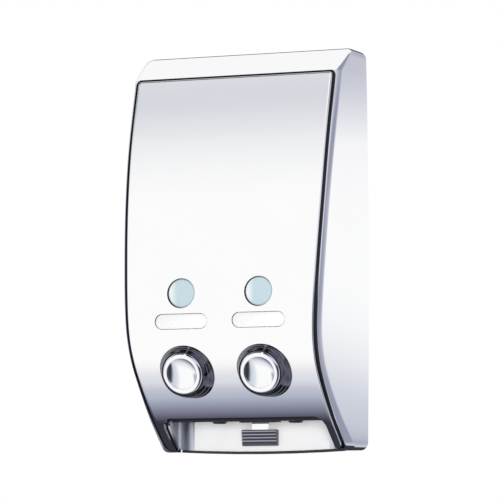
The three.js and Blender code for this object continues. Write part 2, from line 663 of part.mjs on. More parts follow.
// Button: a dished face in a rounded lip, a skirt that runs in the collar, and a stem
function button(name, side) {
  const lipTop = BUTTON_RADIUS - LIP_RADIUS;
  const lip = Array.from({ length: ARC_STEPS + 1 }, (_, i) => {
    const a = Math.PI / 2 * (1 - i / ARC_STEPS);
    return [lipTop + LIP_RADIUS * Math.cos(a), LIP_RADIUS * (Math.sin(a) - 1)];
  });
  const dish = Array.from({ length: ARC_STEPS + 1 }, (_, i) => {
    const share = i / ARC_STEPS;
    return [DISH_RADIUS * share, -DISH_DEPTH + (DISH_DEPTH - DISH_STEP) * share ** 2];
  });
  const under = -DISH_DEPTH - DISH_THICK;
  piece(name, onPumpLine(side, [
    ...dish, ...lip, [BUTTON_RADIUS, -BUTTON_SKIRT], [BUTTON_RADIUS - BUTTON_WALL, -BUTTON_SKIRT],
    [BUTTON_RADIUS - BUTTON_WALL, under], [STEM_RADIUS, under], [STEM_RADIUS, -CLIP_SEAT],
    [CLIP_NECK, -CLIP_SEAT], [CLIP_NECK, -CLIP_SEAT - CLIP_THICK - GAP],
    [STEM_RADIUS, -CLIP_SEAT - CLIP_THICK - GAP], [STEM_RADIUS, -STEM_REACH], [0, -STEM_REACH],
  ], FINE_SEGMENTS), chrome);
}

// Spring between the collar's web and the back of the button's dish
function buttonSpring(name, side) {
  const from = COLLAR_REACH - COLLAR_WEB - GAP;
  const to = DISH_DEPTH + DISH_THICK + GAP;
  piece(name, solid(coil(SPRING_RADIUS, SPRING_WIRE, SPRING_TURNS, from - to).translate(0, -from, 0)
    .applyMatrix4(pumpFrame(side))), steel);
}

// Split ring in the stem's groove, which stops the button against the collar's web
function buttonClip(name, side) {
  const ring = new THREE.Shape();
  ring.absarc(0, 0, CLIP_RADIUS, CLIP_MOUTH, 2 * Math.PI - CLIP_MOUTH);
  ring.absarc(0, 0, CLIP_NECK + GAP, 2 * Math.PI - CLIP_MOUTH, CLIP_MOUTH, true);
  const geometry = extruded(ring, CLIP_THICK, CURVE_SEGMENTS * 2);
  geometry.applyMatrix4(new THREE.Matrix4().makeRotationX(Math.PI / 2))
    .translate(0, -CLIP_SEAT - GAP / 2, 0).applyMatrix4(pumpFrame(side));
  piece(name, solid(geometry), steel);
}

// Pump barrel on the button's line, with an inlet socket above and an outlet pipe below
function pumpBody(name, side) {
  const outer = PUMP_BORE + PUMP_WALL;
  const end = -PUMP_PORT - INLET_RADIUS;
  const x = side * SPACING_HALF;
  const top = SHELF_Z - GAP;
  const flangeLow = top - INLET_FLANGE_THICK;
  const body = onPumpLine(side, [[0, end], [outer, end], [outer, -PUMP_MOUTH], [0, -PUMP_MOUTH]])
    .add(turned([
      [0, PORT_Z], [INLET_RADIUS, PORT_Z], [INLET_RADIUS, flangeLow], [INLET_FLANGE, flangeLow],
      [INLET_FLANGE, top], [0, top],
    ], x, PORT_DEPTH))
    .add(turned([[0, OUTLET_END_Z], [OUTLET_RADIUS, OUTLET_END_Z], [OUTLET_RADIUS, PORT_Z], [0, PORT_Z]],
      x, PORT_DEPTH))
    .subtract(onPumpLine(side, [
      [0, end + PUMP_END_WALL], [PUMP_BORE, end + PUMP_END_WALL], [PUMP_BORE, -PUMP_MOUTH + CUT_OVER],
      [0, -PUMP_MOUTH + CUT_OVER],
    ]))
    .subtract(turned([
      [0, OUTLET_END_Z - CUT_OVER], [OUTLET_BORE, OUTLET_END_Z - CUT_OVER], [OUTLET_BORE, PORT_Z],
      [PORT_BORE, PORT_Z], [PORT_BORE, top - INLET_SOCKET_DEPTH], [INLET_SOCKET, top - INLET_SOCKET_DEPTH],
      [INLET_SOCKET, top + CUT_OVER], [0, top + CUT_OVER],
    ], x, PORT_DEPTH));
  piece(name, body, whitePlastic);
}

// Ball that floats up against the bottle's neck when the piston pushes
function inletBall(name, side) {
  const seat = SHELF_Z + SHELF_THICK + GAP - NECK_LENGTH;
  const ball = new THREE.SphereGeometry(BALL_RADIUS, SMALL_SEGMENTS, SMALL_SEGMENTS / 2)
    .translate(side * SPACING_HALF, -PORT_DEPTH, seat - BALL_RADIUS - GAP);
  piece(name, solid(ball), steel);
}

// Piston: the pad that the stem meets, the rod, and the head with its seal groove
function piston(name, side) {
  const padBack = -PISTON_START - PAD_THICK;
  const headEnd = -HEAD_START - HEAD_LENGTH;
  const grooveFrom = -HEAD_START - (HEAD_LENGTH - SEAL_GROOVE) / 2;
  const grooveRadius = SEAL_CENTRE - SEAL_TUBE - GAP / 2;
  piece(name, onPumpLine(side, [
    [0, -PISTON_START], [PAD_RADIUS, -PISTON_START], [PAD_RADIUS, padBack], [ROD_RADIUS, padBack],
    [ROD_RADIUS, -HEAD_START], [HEAD_RADIUS, -HEAD_START], [HEAD_RADIUS, grooveFrom],
    [grooveRadius, grooveFrom], [grooveRadius, grooveFrom - SEAL_GROOVE],
    [HEAD_RADIUS, grooveFrom - SEAL_GROOVE], [HEAD_RADIUS, headEnd], [0, headEnd],
  ], SMALL_SEGMENTS), whitePlastic);
}

const SEAL_CENTRE = PUMP_BORE - GAP / 2 - SEAL_TUBE;

function pistonSeal(name, side) {
  const middle = -HEAD_START - HEAD_LENGTH / 2;
  const geometry = new THREE.TorusGeometry(SEAL_CENTRE, SEAL_TUBE, WIRE_SIDES, ROUND_SEGMENTS);
  geometry.applyMatrix4(new THREE.Matrix4().makeRotationX(Math.PI / 2)).translate(0, middle, 0);
  piece(name, solid(geometry.applyMatrix4(pumpFrame(side))), rubber);
}

// Spring between the piston's pad and the mouth of the barrel
function pistonSpring(name, side) {
  const from = PUMP_MOUTH - GAP;
  const to = PISTON_START + PAD_THICK + GAP;
  piece(name, solid(coil(PISTON_SPRING_RADIUS, PISTON_SPRING_WIRE, PISTON_SPRING_TURNS, from - to)
    .translate(0, -from, 0).applyMatrix4(pumpFrame(side))), steel);
}

// Spout pushed over the outlet pipe, with a soft valve held at its inner shoulder
const VALVE_TOP_Z = OUTLET_END_Z - GAP;
const SHOULDER_Z = VALVE_TOP_Z - VALVE_FLANGE - GAP;

function spout(name, side) {
  const bore = OUTLET_RADIUS + GAP;
  const outer = bore + SPOUT_WALL;
  piece(name, turned([
    [SPOUT_BORE, SPOUT_TIP_Z], [SPOUT_TIP_RADIUS, SPOUT_TIP_Z], [outer, SPOUT_TIP_Z + SPOUT_TAPER],
    [outer, SPOUT_TOP_Z], [bore, SPOUT_TOP_Z], [bore, SHOULDER_Z], [SPOUT_BORE, SHOULDER_Z],
    [SPOUT_BORE, SPOUT_TIP_Z],
  ], side * SPACING_HALF, PORT_DEPTH), darkPlastic);
}

function outletValve(name, side) {
  const throat = SPOUT_BORE - GAP;
  const low = VALVE_TOP_Z - VALVE_FLANGE;
  piece(name, turned([
    [0, low - VALVE_REACH], [VALVE_TIP, low - VALVE_REACH], [throat, low], [OUTLET_RADIUS, low],
    [OUTLET_RADIUS, VALVE_TOP_Z], [throat - VALVE_WALL, VALVE_TOP_Z], [0, low - VALVE_REACH + VALVE_WALL * 2],
  ], side * SPACING_HALF, PORT_DEPTH), whitePlastic);
}

// Bottle: its front follows the case, its top is open and its neck plugs into the pump

function bottleOutline(side, wall) {
  return (z) => {
    const front = cavityDepth(z) - BOTTLE_FRONT_GAP - wall;
    const [inner, outer] = [BOTTLE_INNER_X + wall, BOTTLE_OUTER_X - wall];
    const [x0, x1] = side > 0 ? [inner, outer] : [-outer, -inner];
    const shape = roundedShape(x0, -front, x1, -(BOTTLE_BACK + wall), BOTTLE_CORNER - wall / 2);
    return shape.getPoints(2).slice(0, -1).map((p) => [p.x, p.y]);
  };
}

const BOTTLE_LOW_Z = SHELF_Z + SHELF_THICK + GAP;

function bottle(name, side) {
  const neck = (r, low, high) => turned([[0, low], [r, low], [r, high], [0, high]],
    side * SPACING_HALF, PORT_DEPTH);
  const floor = BOTTLE_LOW_Z + BOTTLE_WALL;
  piece(name, loft(heights(BOTTLE_LOW_Z, BOTTLE_TOP_Z, BOTTLE_STEP), bottleOutline(side, 0))
    .add(neck(NECK_RADIUS, BOTTLE_LOW_Z - NECK_LENGTH, floor))
    .subtract(loft(heights(floor, BOTTLE_TOP_Z + CUT_OVER, BOTTLE_STEP), bottleOutline(side, BOTTLE_WALL)))
    .subtract(neck(NECK_BORE, BOTTLE_LOW_Z - NECK_LENGTH - CUT_OVER, floor + CUT_OVER)), bottlePlastic);
}

function bottleLid(name, side) {
  const low = BOTTLE_TOP_Z + GAP;
  const at = (wall) => () => bottleOutline(side, wall)(BOTTLE_TOP_Z);
  const mouth = BOTTLE_WALL + GAP * 2;
  const tabX = side * (BOTTLE_INNER_X + BOTTLE_OUTER_X) / 2;
  const front = cavityDepth(BOTTLE_TOP_Z) - BOTTLE_FRONT_GAP;
  piece(name, loft([low, low + LID_THICK], at(0))
    .add(loft([low - LID_PLUG, low + LID_THICK / 2], at(mouth)))
    .subtract(loft([low - LID_PLUG - CUT_OVER, low], at(mouth + LID_PLUG_WALL)))
    .add(block(tabX - LID_TAB, tabX + LID_TAB, front - BOTTLE_WALL, front + LID_THICK, low, low + LID_THICK)),
  bottlePlastic);
}

// Shelf that carries the bottles and the pumps, on gussets from the wall plate
function bottleShelf() {
  const back = PLATE_THICK + GAP;
  const plan = (half, depth, r) => roundedShape(-half, -depth, half, depth, r);
  const behind = block(-SHELF_HALF - CUT_OVER, SHELF_HALF + CUT_OVER, -SHELF_DEPTH - CUT_OVER, back,
    SHELF_Z - GUSSET_DROP, SHELF_Z + SHELF_THICK + CUT_OVER);
  let shelf = upwards(plan(SHELF_HALF, SHELF_DEPTH, SHELF_CORNER), SHELF_Z, SHELF_Z + SHELF_THICK)
    .subtract(behind);
  for (const x of [-GUSSET_X, 0, GUSSET_X])
    shelf = shelf.add(across(polygon([
      [back, SHELF_Z - GUSSET_DROP], [GUSSET_REACH, SHELF_Z + GAP], [back, SHELF_Z + GAP],
    ]), x - GUSSET_WIDTH / 2, x + GUSSET_WIDTH / 2));
  for (const side of [-1, 1])
    shelf = shelf.subtract(turned([
      [0, SHELF_Z - CUT_OVER], [NECK_RADIUS + GAP, SHELF_Z - CUT_OVER],
      [NECK_RADIUS + GAP, SHELF_Z + SHELF_THICK + CUT_OVER], [0, SHELF_Z + SHELF_THICK + CUT_OVER],
    ], side * SPACING_HALF, PORT_DEPTH));
  piece("bottle_shelf", shelf, whitePlastic);
}

// Wall plate: the foot is crowned, the rims stiffen the sides, and two ears carry the hinge

// Everything below the crowned lower edge, raised by lift
function belowCrown(lift, depth) {
  const half = PLATE_FOOT_HALF + CUT_OVER;
  const edge = new THREE.Shape();
  edge.moveTo(-half, PLATE_CROWN + lift);
  edge.quadraticCurveTo(0, -PLATE_CROWN + lift, half, PLATE_CROWN + lift);
  edge.lineTo(half, -CUT_OVER);
  edge.lineTo(-half, -CUT_OVER);
  return fromWall(edge, -CUT_OVER, depth);
}

function wallPlate() {
  let plate = fromWall(polygon([
    [-PLATE_FOOT_HALF, 0], [PLATE_FOOT_HALF, 0], [PLATE_FOOT_HALF, PLATE_FOOT_Z],
    [PLATE_HALF, PLATE_FOOT_Z + PLATE_HALF - PLATE_FOOT_HALF], [PLATE_HALF, PLATE_TOP_Z],
    [-PLATE_HALF, PLATE_TOP_Z], [-PLATE_HALF, PLATE_FOOT_Z + PLATE_HALF - PLATE_FOOT_HALF],
    [-PLATE_FOOT_HALF, PLATE_FOOT_Z],
  ]), 0, PLATE_THICK);
  plate = plate.add(block(-ARCH_HALF, ARCH_HALF, PLATE_THICK / 2, PLATE_LIP_DEPTH, 0, PLATE_LIP + PLATE_CROWN)
    .intersect(belowCrown(PLATE_LIP, BELLY_DEPTH)));
  plate = plate.subtract(belowCrown(0, BELLY_DEPTH));
  for (const side of [-1, 1]) {
    plate = plate.add(block(Math.min(side * RIM_X, side * (RIM_X + RIM_THICK)),
      Math.max(side * RIM_X, side * (RIM_X + RIM_THICK)), PLATE_THICK / 2, RIM_DEPTH,
      PLATE_FOOT_Z + RIM_END, PLATE_TOP_Z - RIM_END));
    const ear = hingeProfile([
      [PLATE_THICK / 2, PLATE_TOP_Z - RIM_END / 2], [HINGE_DEPTH + HINGE_ARM_FRONT, PLATE_TOP_Z],
      [HINGE_DEPTH + HINGE_ARM_FRONT, HINGE_Z], [HINGE_DEPTH - HINGE_ARM_BACK, HINGE_Z],
      [HINGE_DEPTH - HINGE_ARM_BACK, PLATE_TOP_Z], [PLATE_THICK / 2, PLATE_TOP_Z - LUG_THICK / 2],
    ], HINGE_PIN + GAP);
    plate = plate.add(ear(side * HINGE_X - HINGE_EAR_WIDTH / 2, side * HINGE_X + HINGE_EAR_WIDTH / 2));
    for (const z of [SCREW_LOW_Z, SCREW_HIGH_Z])
      plate = plate.subtract(fromWall(new THREE.Shape().absarc(side * SCREW_X, z, SCREW_RADIUS + GAP, 0,
        2 * Math.PI), -CUT_OVER, PLATE_THICK + CUT_OVER));
  }
  const lugLow = SLIDER_TOP_Z + LATCH_SPRING_LENGTH + GAP * 2;
  plate = plate.add(block(-LUG_HALF, LUG_HALF, PLATE_THICK / 2, LUG_DEPTH, lugLow, lugLow + LUG_THICK));
  piece("wall_plate", plate, darkPlastic);
}

// Pan-head screw, shown down to the wall plane
function wallScrew(name, x, z) {
  const head = PLATE_THICK + GAP;
  const circle = (r) => new THREE.Shape().absarc(x, z, r, 0, 2 * Math.PI);
  piece(name, fromWall(circle(SCREW_RADIUS), GAP, head + SCREW_HEAD_THICK / 2)
    .add(fromWall(circle(SCREW_HEAD), head, head + SCREW_HEAD_THICK))
    .subtract(block(x - SCREW_HEAD - CUT_OVER, x + SCREW_HEAD + CUT_OVER, head + SCREW_HEAD_THICK / 2,
      head + SCREW_HEAD_THICK + CUT_OVER, z - SCREW_SLOT / 2, z + SCREW_SLOT / 2)), steel);
}

function hingePin(name, side) {
  const half = HINGE_EAR_WIDTH / 2 + GAP + HINGE_LUG_WIDTH;
  const circle = (r) => new THREE.Shape().absarc(HINGE_DEPTH, HINGE_Z, r, 0, 2 * Math.PI);
  const x = side * HINGE_X;
  piece(name, across(circle(HINGE_PIN), x - half - GAP, x + half + GAP)
    .add(across(circle(HINGE_PIN + GAP * 3), x + half + GAP, x + half + GAP + HINGE_PIN)), steel);
}

// Alcove liner: a tray with rounded rear corners and a deck that the spouts come through
function alcoveLiner() {
  const back = PLATE_THICK + GAP;
  const reach = BELLY_DEPTH;
  const tray = (half, near, r, low, high) => {
    const plan = new THREE.Shape();
    plan.moveTo(-half, -reach);
    plan.lineTo(half, -reach);
    plan.absarc(half - r, -near - r, r, 0, Math.PI / 2);
    plan.absarc(-half + r, -near - r, r, Math.PI / 2, Math.PI);
    return upwards(plan, low, high);
  };
  const stem = SLIDER_HALF + GAP * 2;
  const stemNear = back + LINER_THICK;
  let body = tray(LINER_HALF, back, LINER_CORNER + LINER_THICK, CASE_BOTTOM, DECK_Z + DECK_THICK)
    .subtract(tray(LINER_HALF - LINER_THICK, back + LINER_THICK, LINER_CORNER, -CUT_OVER, DECK_Z))
    .intersect(behindFront(LINER_HALF + CUT_OVER, GAP * 2, 0, DECK_Z + DECK_THICK + CUT_OVER))
    .subtract(belowCrown(PLATE_LIP + GAP, BELLY_DEPTH))
    .add(block(-GUIDE_HALF, GUIDE_HALF, back + LINER_THICK / 2, GUIDE_DEPTH, GUIDE_LOW_Z,
      DECK_Z + DECK_THICK / 2))
    .subtract(block(-stem, stem, stemNear, stemNear + SLIDER_THICK + GAP * 2, GUIDE_LOW_Z - CUT_OVER,
      DECK_Z + DECK_THICK + CUT_OVER));
  const spoutHole = OUTLET_RADIUS + GAP + SPOUT_WALL + GAP;
  for (const side of [-1, 1])
    body = body.subtract(turned([
      [0, DECK_Z - CUT_OVER], [spoutHole, DECK_Z - CUT_OVER], [spoutHole, DECK_Z + DECK_THICK + CUT_OVER],
      [0, DECK_Z + DECK_THICK + CUT_OVER],
    ], side * SPACING_HALF, PORT_DEPTH));
  piece("alcove_liner", body, liner);
}

// Latch: a ribbed thumb piece in the alcove, and a hook above the deck
const SLIDER_NEAR = PLATE_THICK + GAP + LINER_THICK + GAP;
const SLIDER_FAR = SLIDER_NEAR + SLIDER_THICK;
const TOOTH_NEAR = SLIDER_FAR + HOOK_GAP;

function latchSlider() {
  const pitch = THUMB_HEIGHT / THUMB_RIBS;
  const face = (h) => THREE.MathUtils.lerp(THUMB_LOW_DEPTH, THUMB_TOP_DEPTH, h / THUMB_HEIGHT);
  const ribs = Array.from({ length: THUMB_RIBS }, (_, i) => {
    const h = pitch * i;
    const valley = pitch / 4;
    return [
      [face(h) - THUMB_RIB_DEPTH, THUMB_LOW_Z + h], [face(h + valley), THUMB_LOW_Z + h + valley],
      [face(h + 3 * valley), THUMB_LOW_Z + h + 3 * valley],
      [face(h + pitch) - THUMB_RIB_DEPTH, THUMB_LOW_Z + h + pitch],
    ].slice(i ? 1 : 0);
  }).flat();
  const thumbTop = THUMB_LOW_Z + THUMB_HEIGHT;
  const thumb = across(polygon([[SLIDER_NEAR, THUMB_LOW_Z], ...ribs, [SLIDER_NEAR, thumbTop]]),
    -THUMB_HALF, THUMB_HALF);
  const hookLow = TOOTH_LOW_Z + TOOTH_HEIGHT;
  piece("latch_slider", thumb
    .add(block(-SLIDER_HALF, SLIDER_HALF, SLIDER_NEAR, SLIDER_FAR, thumbTop - GAP, SLIDER_TOP_Z))
    .add(block(-SLIDER_SHOULDER, SLIDER_SHOULDER, SLIDER_NEAR, SLIDER_FAR, DECK_Z + DECK_THICK + GAP,
      SLIDER_TOP_Z - SLIDER_THICK))
    .add(block(-SLIDER_HALF, SLIDER_HALF, SLIDER_FAR - GAP, TOOTH_NEAR + TOOTH_THICK, hookLow,
      hookLow + HOOK_THICK))
    .add(block(-SLIDER_HALF, SLIDER_HALF, TOOTH_NEAR, TOOTH_NEAR + TOOTH_THICK, TOOTH_LOW_Z,
      hookLow + GAP)), darkPlastic);
}

function latchSpring() {
  const geometry = coil(LATCH_SPRING_RADIUS, LATCH_SPRING_WIRE, LATCH_SPRING_TURNS, LATCH_SPRING_LENGTH)
    .applyMatrix4(new THREE.Matrix4().makeRotationX(Math.PI / 2))
    .translate(0, -(SLIDER_NEAR + SLIDER_FAR) / 2, SLIDER_TOP_Z + GAP);
  piece("latch_spring", solid(geometry), steel);
}

// Tongue on the case, whose turned-up lip stands behind the latch's tooth
function catchTongue() {
  const low = DECK_Z + DECK_THICK + TONGUE_LIFT;
  const lipFar = TOOTH_NEAR - GAP;
  const flangeLow = cavityDepth(low) - GAP * 2;
  const rise = TONGUE_FLANGE * Math.SQRT1_2;
  const flangeHigh = cavityDepth(low + rise) - GAP * 2;
  piece("catch_tongue", across(polygon([
    [lipFar - TONGUE_LIP, low], [flangeLow, low], [flangeHigh, low + rise],
    [flangeHigh - TONGUE_THICK * 2, low + rise], [flangeLow - TONGUE_THICK * 2, low + TONGUE_THICK],
    [lipFar, low + TONGUE_THICK], [lipFar, TOOTH_LOW_Z - GAP], [lipFar - TONGUE_LIP, TOOTH_LOW_Z - GAP],
  ]), -TONGUE_HALF, TONGUE_HALF), chrome);
}

wallPlate();
bottleShelf();
alcoveLiner();
latchSlider();
latchSpring();
coverShell();
frontPanel();
catchTongue();
wallScrew("wall_screw_1", -SCREW_X, SCREW_LOW_Z);
wallScrew("wall_screw_2", -SCREW_X, SCREW_HIGH_Z);
wallScrew("wall_screw_3", SCREW_X, SCREW_LOW_Z);
wallScrew("wall_screw_4", SCREW_X, SCREW_HIGH_Z);
for (const [side, hand] of [[-1, "left"], [1, "right"]]) {
  hingePin(`hinge_pin_${hand}`, side);
  bottle(`bottle_${hand}`, side);
  bottleLid(`bottle_lid_${hand}`, side);
  pumpBody(`pump_body_${hand}`, side);
  inletBall(`inlet_ball_${hand}`, side);
  spout(`spout_${hand}`, side);
  outletValve(`outlet_valve_${hand}`, side);
  piston(`piston_${hand}`, side);
  pistonSeal(`piston_seal_${hand}`, side);
  pistonSpring(`piston_spring_${hand}`, side);
  sightWindow(`sight_window_${hand}`, side);
  labelPlate(`label_plate_${hand}`, side);
  buttonCollar(`button_collar_${hand}`, side);
  button(`button_${hand}`, side);
  buttonSpring(`button_spring_${hand}`, side);
  buttonClip(`button_clip_${hand}`, side);
}
group.position.z = -HEIGHT / 2;

export default group;
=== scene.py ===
"""Dresses a wall-mounted liquid soap dispenser: a bright case hinged over two bottles.

Lengths in this file are millimetres in the maker's frame: x to the right, depth out from the wall
and height above the lowest edge. `place` turns them into the scene's metres.
"""

from __future__ import annotations

import json
import logging
import math
from collections.abc import Callable, Mapping, Sequence
from dataclasses import dataclass, field
from enum import Enum
from typing import Any

import bmesh
import bpy
import numpy as np
from mathutils import Matrix, Vector

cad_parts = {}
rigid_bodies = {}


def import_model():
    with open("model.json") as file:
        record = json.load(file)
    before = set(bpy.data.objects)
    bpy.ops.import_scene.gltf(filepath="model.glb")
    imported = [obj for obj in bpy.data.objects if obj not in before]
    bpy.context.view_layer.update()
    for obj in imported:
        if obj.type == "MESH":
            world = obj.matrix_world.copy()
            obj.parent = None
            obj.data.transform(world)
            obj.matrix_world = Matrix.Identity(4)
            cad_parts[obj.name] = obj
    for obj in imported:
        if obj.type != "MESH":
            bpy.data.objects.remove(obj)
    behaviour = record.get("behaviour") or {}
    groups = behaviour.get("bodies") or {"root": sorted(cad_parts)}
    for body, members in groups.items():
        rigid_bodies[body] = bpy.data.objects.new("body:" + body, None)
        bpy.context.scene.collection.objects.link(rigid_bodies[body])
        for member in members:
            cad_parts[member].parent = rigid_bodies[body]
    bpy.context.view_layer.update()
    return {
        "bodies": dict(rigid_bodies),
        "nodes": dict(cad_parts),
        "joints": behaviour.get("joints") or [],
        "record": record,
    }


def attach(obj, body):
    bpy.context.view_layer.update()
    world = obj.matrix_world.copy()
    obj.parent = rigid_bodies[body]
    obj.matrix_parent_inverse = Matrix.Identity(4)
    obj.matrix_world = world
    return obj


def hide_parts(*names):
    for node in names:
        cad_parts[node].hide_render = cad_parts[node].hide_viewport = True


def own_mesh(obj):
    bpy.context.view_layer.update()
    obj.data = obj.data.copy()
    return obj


LOG = logging.getLogger("dispenser")

Pair = tuple[float, float]
Color = tuple[float, float, float]
Line = Callable[[float, float, float], Vector]
Piece = bpy.types.Object

HEIGHT = 260.0
GAP = 0.3
PAST = 4.0  # how far a cutting solid runs past the part
TOUCH = 0.05  # how near to a face counts as on it
HAIR = 0.01  # too short to be seen
WINDOW_HEIGHT = 101.2
LABEL_HEIGHT = 83.2
LABEL_SIZE = (35.6, 9.4)
HANDS = {"left": -1, "right": 1}
QUARTER = math.pi / 2


class Body(str, Enum):
    """The rigid bodies that pieces ride on."""

    BASE = "base"
    COVER = "cover"
    LATCH = "latch"
    BUTTON_LEFT = "button_left"
    BUTTON_RIGHT = "button_right"


class Slot(str, Enum):
    """The material slots of the record."""

    CASE = "case_chrome"
    PANEL = "panel_chrome"
    LINER = "liner_chrome"
    STEEL = "spring_steel"
    DARK = "dark_plastic"
    WHITE = "white_plastic"
    LABEL = "label_white"
    GLASS = "sight_glass"
    BOTTLE = "bottle_plastic"
    RUBBER = "seal_rubber"


def place(x: float, depth: float, height: float) -> Vector:
    """A point in the scene's metres, from x, depth out from the wall and height."""
    return Vector((x, -depth, height - HEIGHT / 2)) / 1000


def drawn_in(radius: float, left: float) -> float:
    """How far a rounded corner has drawn in.

    Args:
        radius: the corner's radius.
        left: how far short of the corner's end it is.

    Returns:
        The distance, 0 before the corner starts.
    """
    if left >= radius:
        return 0.0
    return radius - math.sqrt(max(radius ** 2 - (radius - left) ** 2, 0.0))


@dataclass(frozen=True)
class ShareCurve:
    """A smooth curve through shares of the height, run on straight past its ends."""

    size: float
    shares: Sequence[Pair]

    def __call__(self, height: float) -> float:
        """The curve's value at a height.

        Args:
            height: height above the lowest edge.

        Returns:
            The value, in millimetres.
        """
        points = [(at * HEIGHT, share * self.size) for at, share in self.shares]
        last = len(points) - 1

        def grade(i: int, j: int) -> float:
            """The straight slope between two of the points."""
            return (points[j][1] - points[i][1]) / (points[j][0] - points[i][0])

        if height <= points[0][0]:
            return points[0][1] + grade(0, 1) * (height - points[0][0])
        if height >= points[last][0]:
            return points[last][1] + grade(last - 1, last) * (height - points[last][0])
        i = next(k for k, point in enumerate(points) if point[0] > height) - 1
        run = points[i + 1][0] - points[i][0]
        t = (height - points[i][0]) / run
        low, high = grade(max(i - 1, 0), min(i + 1, last)), grade(i, min(i + 2, last))
        return ((2 * t ** 3 - 3 * t ** 2 + 1) * points[i][1] + (t ** 3 - 2 * t ** 2 + t) * run * low
                + (3 * t ** 2 - 2 * t ** 3) * points[i + 1][1] + (t ** 3 - t ** 2) * run * high)


@dataclass(frozen=True)
class CaseForm:
    """The form of the case's front and sides, which everything on the front follows.

    Its curves give the depth of the front panel's face, and half the width of the panel, of the
    bevel's outer edge and of the side walls' rear edge.
    """

    belly: float = 74.5
    front: ShareCurve = ShareCurve(belly, (
        (0, 0.188), (0.096, 0.564), (0.192, 0.848), (0.262, 0.966), (0.335, 1), (0.46, 0.977),
        (0.615, 0.913), (0.769, 0.817), (0.93, 0.666)))
    panel_half: ShareCurve = ShareCurve(68.0, (
        (0, 0.903), (0.115, 0.91), (0.192, 0.916), (0.308, 0.937), (0.46, 0.962), (0.615, 0.985),
        (0.769, 0.996), (1, 0.998)))
    bevel_half: ShareCurve = ShareCurve(72.4, (
        (0, 0.934), (0.192, 0.917), (0.385, 0.945), (0.577, 0.972), (0.769, 0.993), (1, 1)))
    wall_half: ShareCurve = ShareCurve(73.6, ((0, 0.986), (0.35, 1), (0.6, 1), (0.85, 0.992),
                                              (1, 0.983)))
    ledge_drop: float = 1.4
    bevel_least: float = 0.8
    bevel_drop: float = 5.6
    groove: float = 1.1
    panel_top: float = 241.9
    bezel_top_depth: float = 23.8
    panel_thick: float = 3.0
    panel_corner: float = 2.0
    wall: float = 2.2

    def slant(self, height: float, run: float = 0.8) -> float:
        """How much longer a wall is when cut level than when cut square."""
        return math.hypot(1, (self.front(height + run) - self.front(height)) / run)

    @property
    def bezel_low(self) -> float:
        """Height of the slanted bezel's lower edge."""
        return self.panel_top + self.groove

    def ledge(self, height: float) -> float:
        """Depth of the ledge round the front panel."""
        return self.front(height) - self.ledge_drop * self.slant(height)

    def bezel_share(self, height: float) -> float:
        """How far up the bezel a height is, from 0 to 1."""
        return min(max((height - self.bezel_low) / (HEIGHT - self.bezel_low), 0.0), 1.0)

    def case(self, height: float) -> float:
        """Depth of the case's front edge.

        Args:
            height: height above the lowest edge.

        Returns:
            The depth.
        """
        if height < self.bezel_low:
            return self.ledge(height)
        share = self.bezel_share(height)
        return self.ledge(self.bezel_low) * (1 - share) + self.bezel_top_depth * share

    def bevel(self, height: float) -> float:
        """Depth where the bevel meets the side wall.

        Args:
            height: height above the lowest edge.

        Returns:
            The depth.
        """
        lean = (1 + self.slant(min(height, self.bezel_low))) / 2
        return self.case(height) - ((self.bevel_drop - self.ledge_drop) * lean
                                    * (1 - self.bezel_share(height) / 2))

    def cavity(self, height: float) -> float:
        """Depth of the case's inner face.

        Args:
            height: height above the lowest edge.

        Returns:
            The depth.
        """
        skin = self.panel_thick + GAP + self.wall
        depth = self.front(height) - skin * self.slant(height)
        if height < self.bezel_low:
            return depth
        rise = (self.ledge(self.bezel_low) - self.bezel_top_depth) / (HEIGHT - self.bezel_low)
        return min(depth, self.case(height) - self.wall * math.hypot(1, rise))


@dataclass(frozen=True)
class PumpLine:
    """The tilted line that a button, its collar and its pump share."""

    side: int
    spacing: float = 26.65
    depth: float = 73.0
    height: float = 49.4
    tilt: float = math.radians(15)

    @property
    def x(self) -> float:
        """Distance of the line to the right of the middle."""
        return self.side * self.spacing

    def at(self, out: float, right: float = 0.0, up: float = 0.0) -> Vector:
        """A point of the line's frame in x, depth, height.

        Args:
            out: distance from the button's lip towards the user.
            right: distance to the right of the line.
            up: distance above the line, square to it.

        Returns:
            The point as x, depth and height.
        """
        cos, sin = math.cos(self.tilt), math.sin(self.tilt)
        return Vector((self.x + right, self.depth + out * cos + up * sin,
                       self.height - out * sin + up * cos))

    def out_of(self, point: Vector) -> tuple[float, float, float]:
        """A point in the line's own frame.

        Args:
            point: the point as x, depth and height.

        Returns:
            Out, right and up in the line's frame.
        """
        cos, sin = math.cos(self.tilt), math.sin(self.tilt)
        depth, height = point.y - self.depth, point.z - self.height
        return depth * cos - height * sin, point.x - self.x, depth * sin + height * cos


# Meshes


def solid(name: str, points: Sequence[Vector], faces: Sequence[Sequence[int]],
          same: float = 1e-7) -> Piece:
    """A smooth-shaded closed piece.

    Args:
        name: the piece's name.
        points: corners as x, depth and height in millimetres.
        faces: corner numbers of each face.
        same: corners nearer than this, in metres, become one.

    Returns:
        The new object, with its normals turned outwards.
    """
    form = bmesh.new()
    corners = [form.verts.new(place(*point)) for point in points]
    for face in faces:
        if len(set(face)) == len(face):
            form.faces.new([corners[i] for i in face])
    bmesh.ops.remove_doubles(form, verts=form.verts, dist=same)
    bmesh.ops.dissolve_degenerate(form, edges=form.edges, dist=same)
    bmesh.ops.recalc_face_normals(form, faces=form.faces)
    for face in form.faces:
        face.smooth = True
    mesh = bpy.data.meshes.new(name)
    form.to_mesh(mesh)
    form.free()
    piece = bpy.data.objects.new(name, mesh)
    bpy.context.scene.collection.objects.link(piece)
    return piece


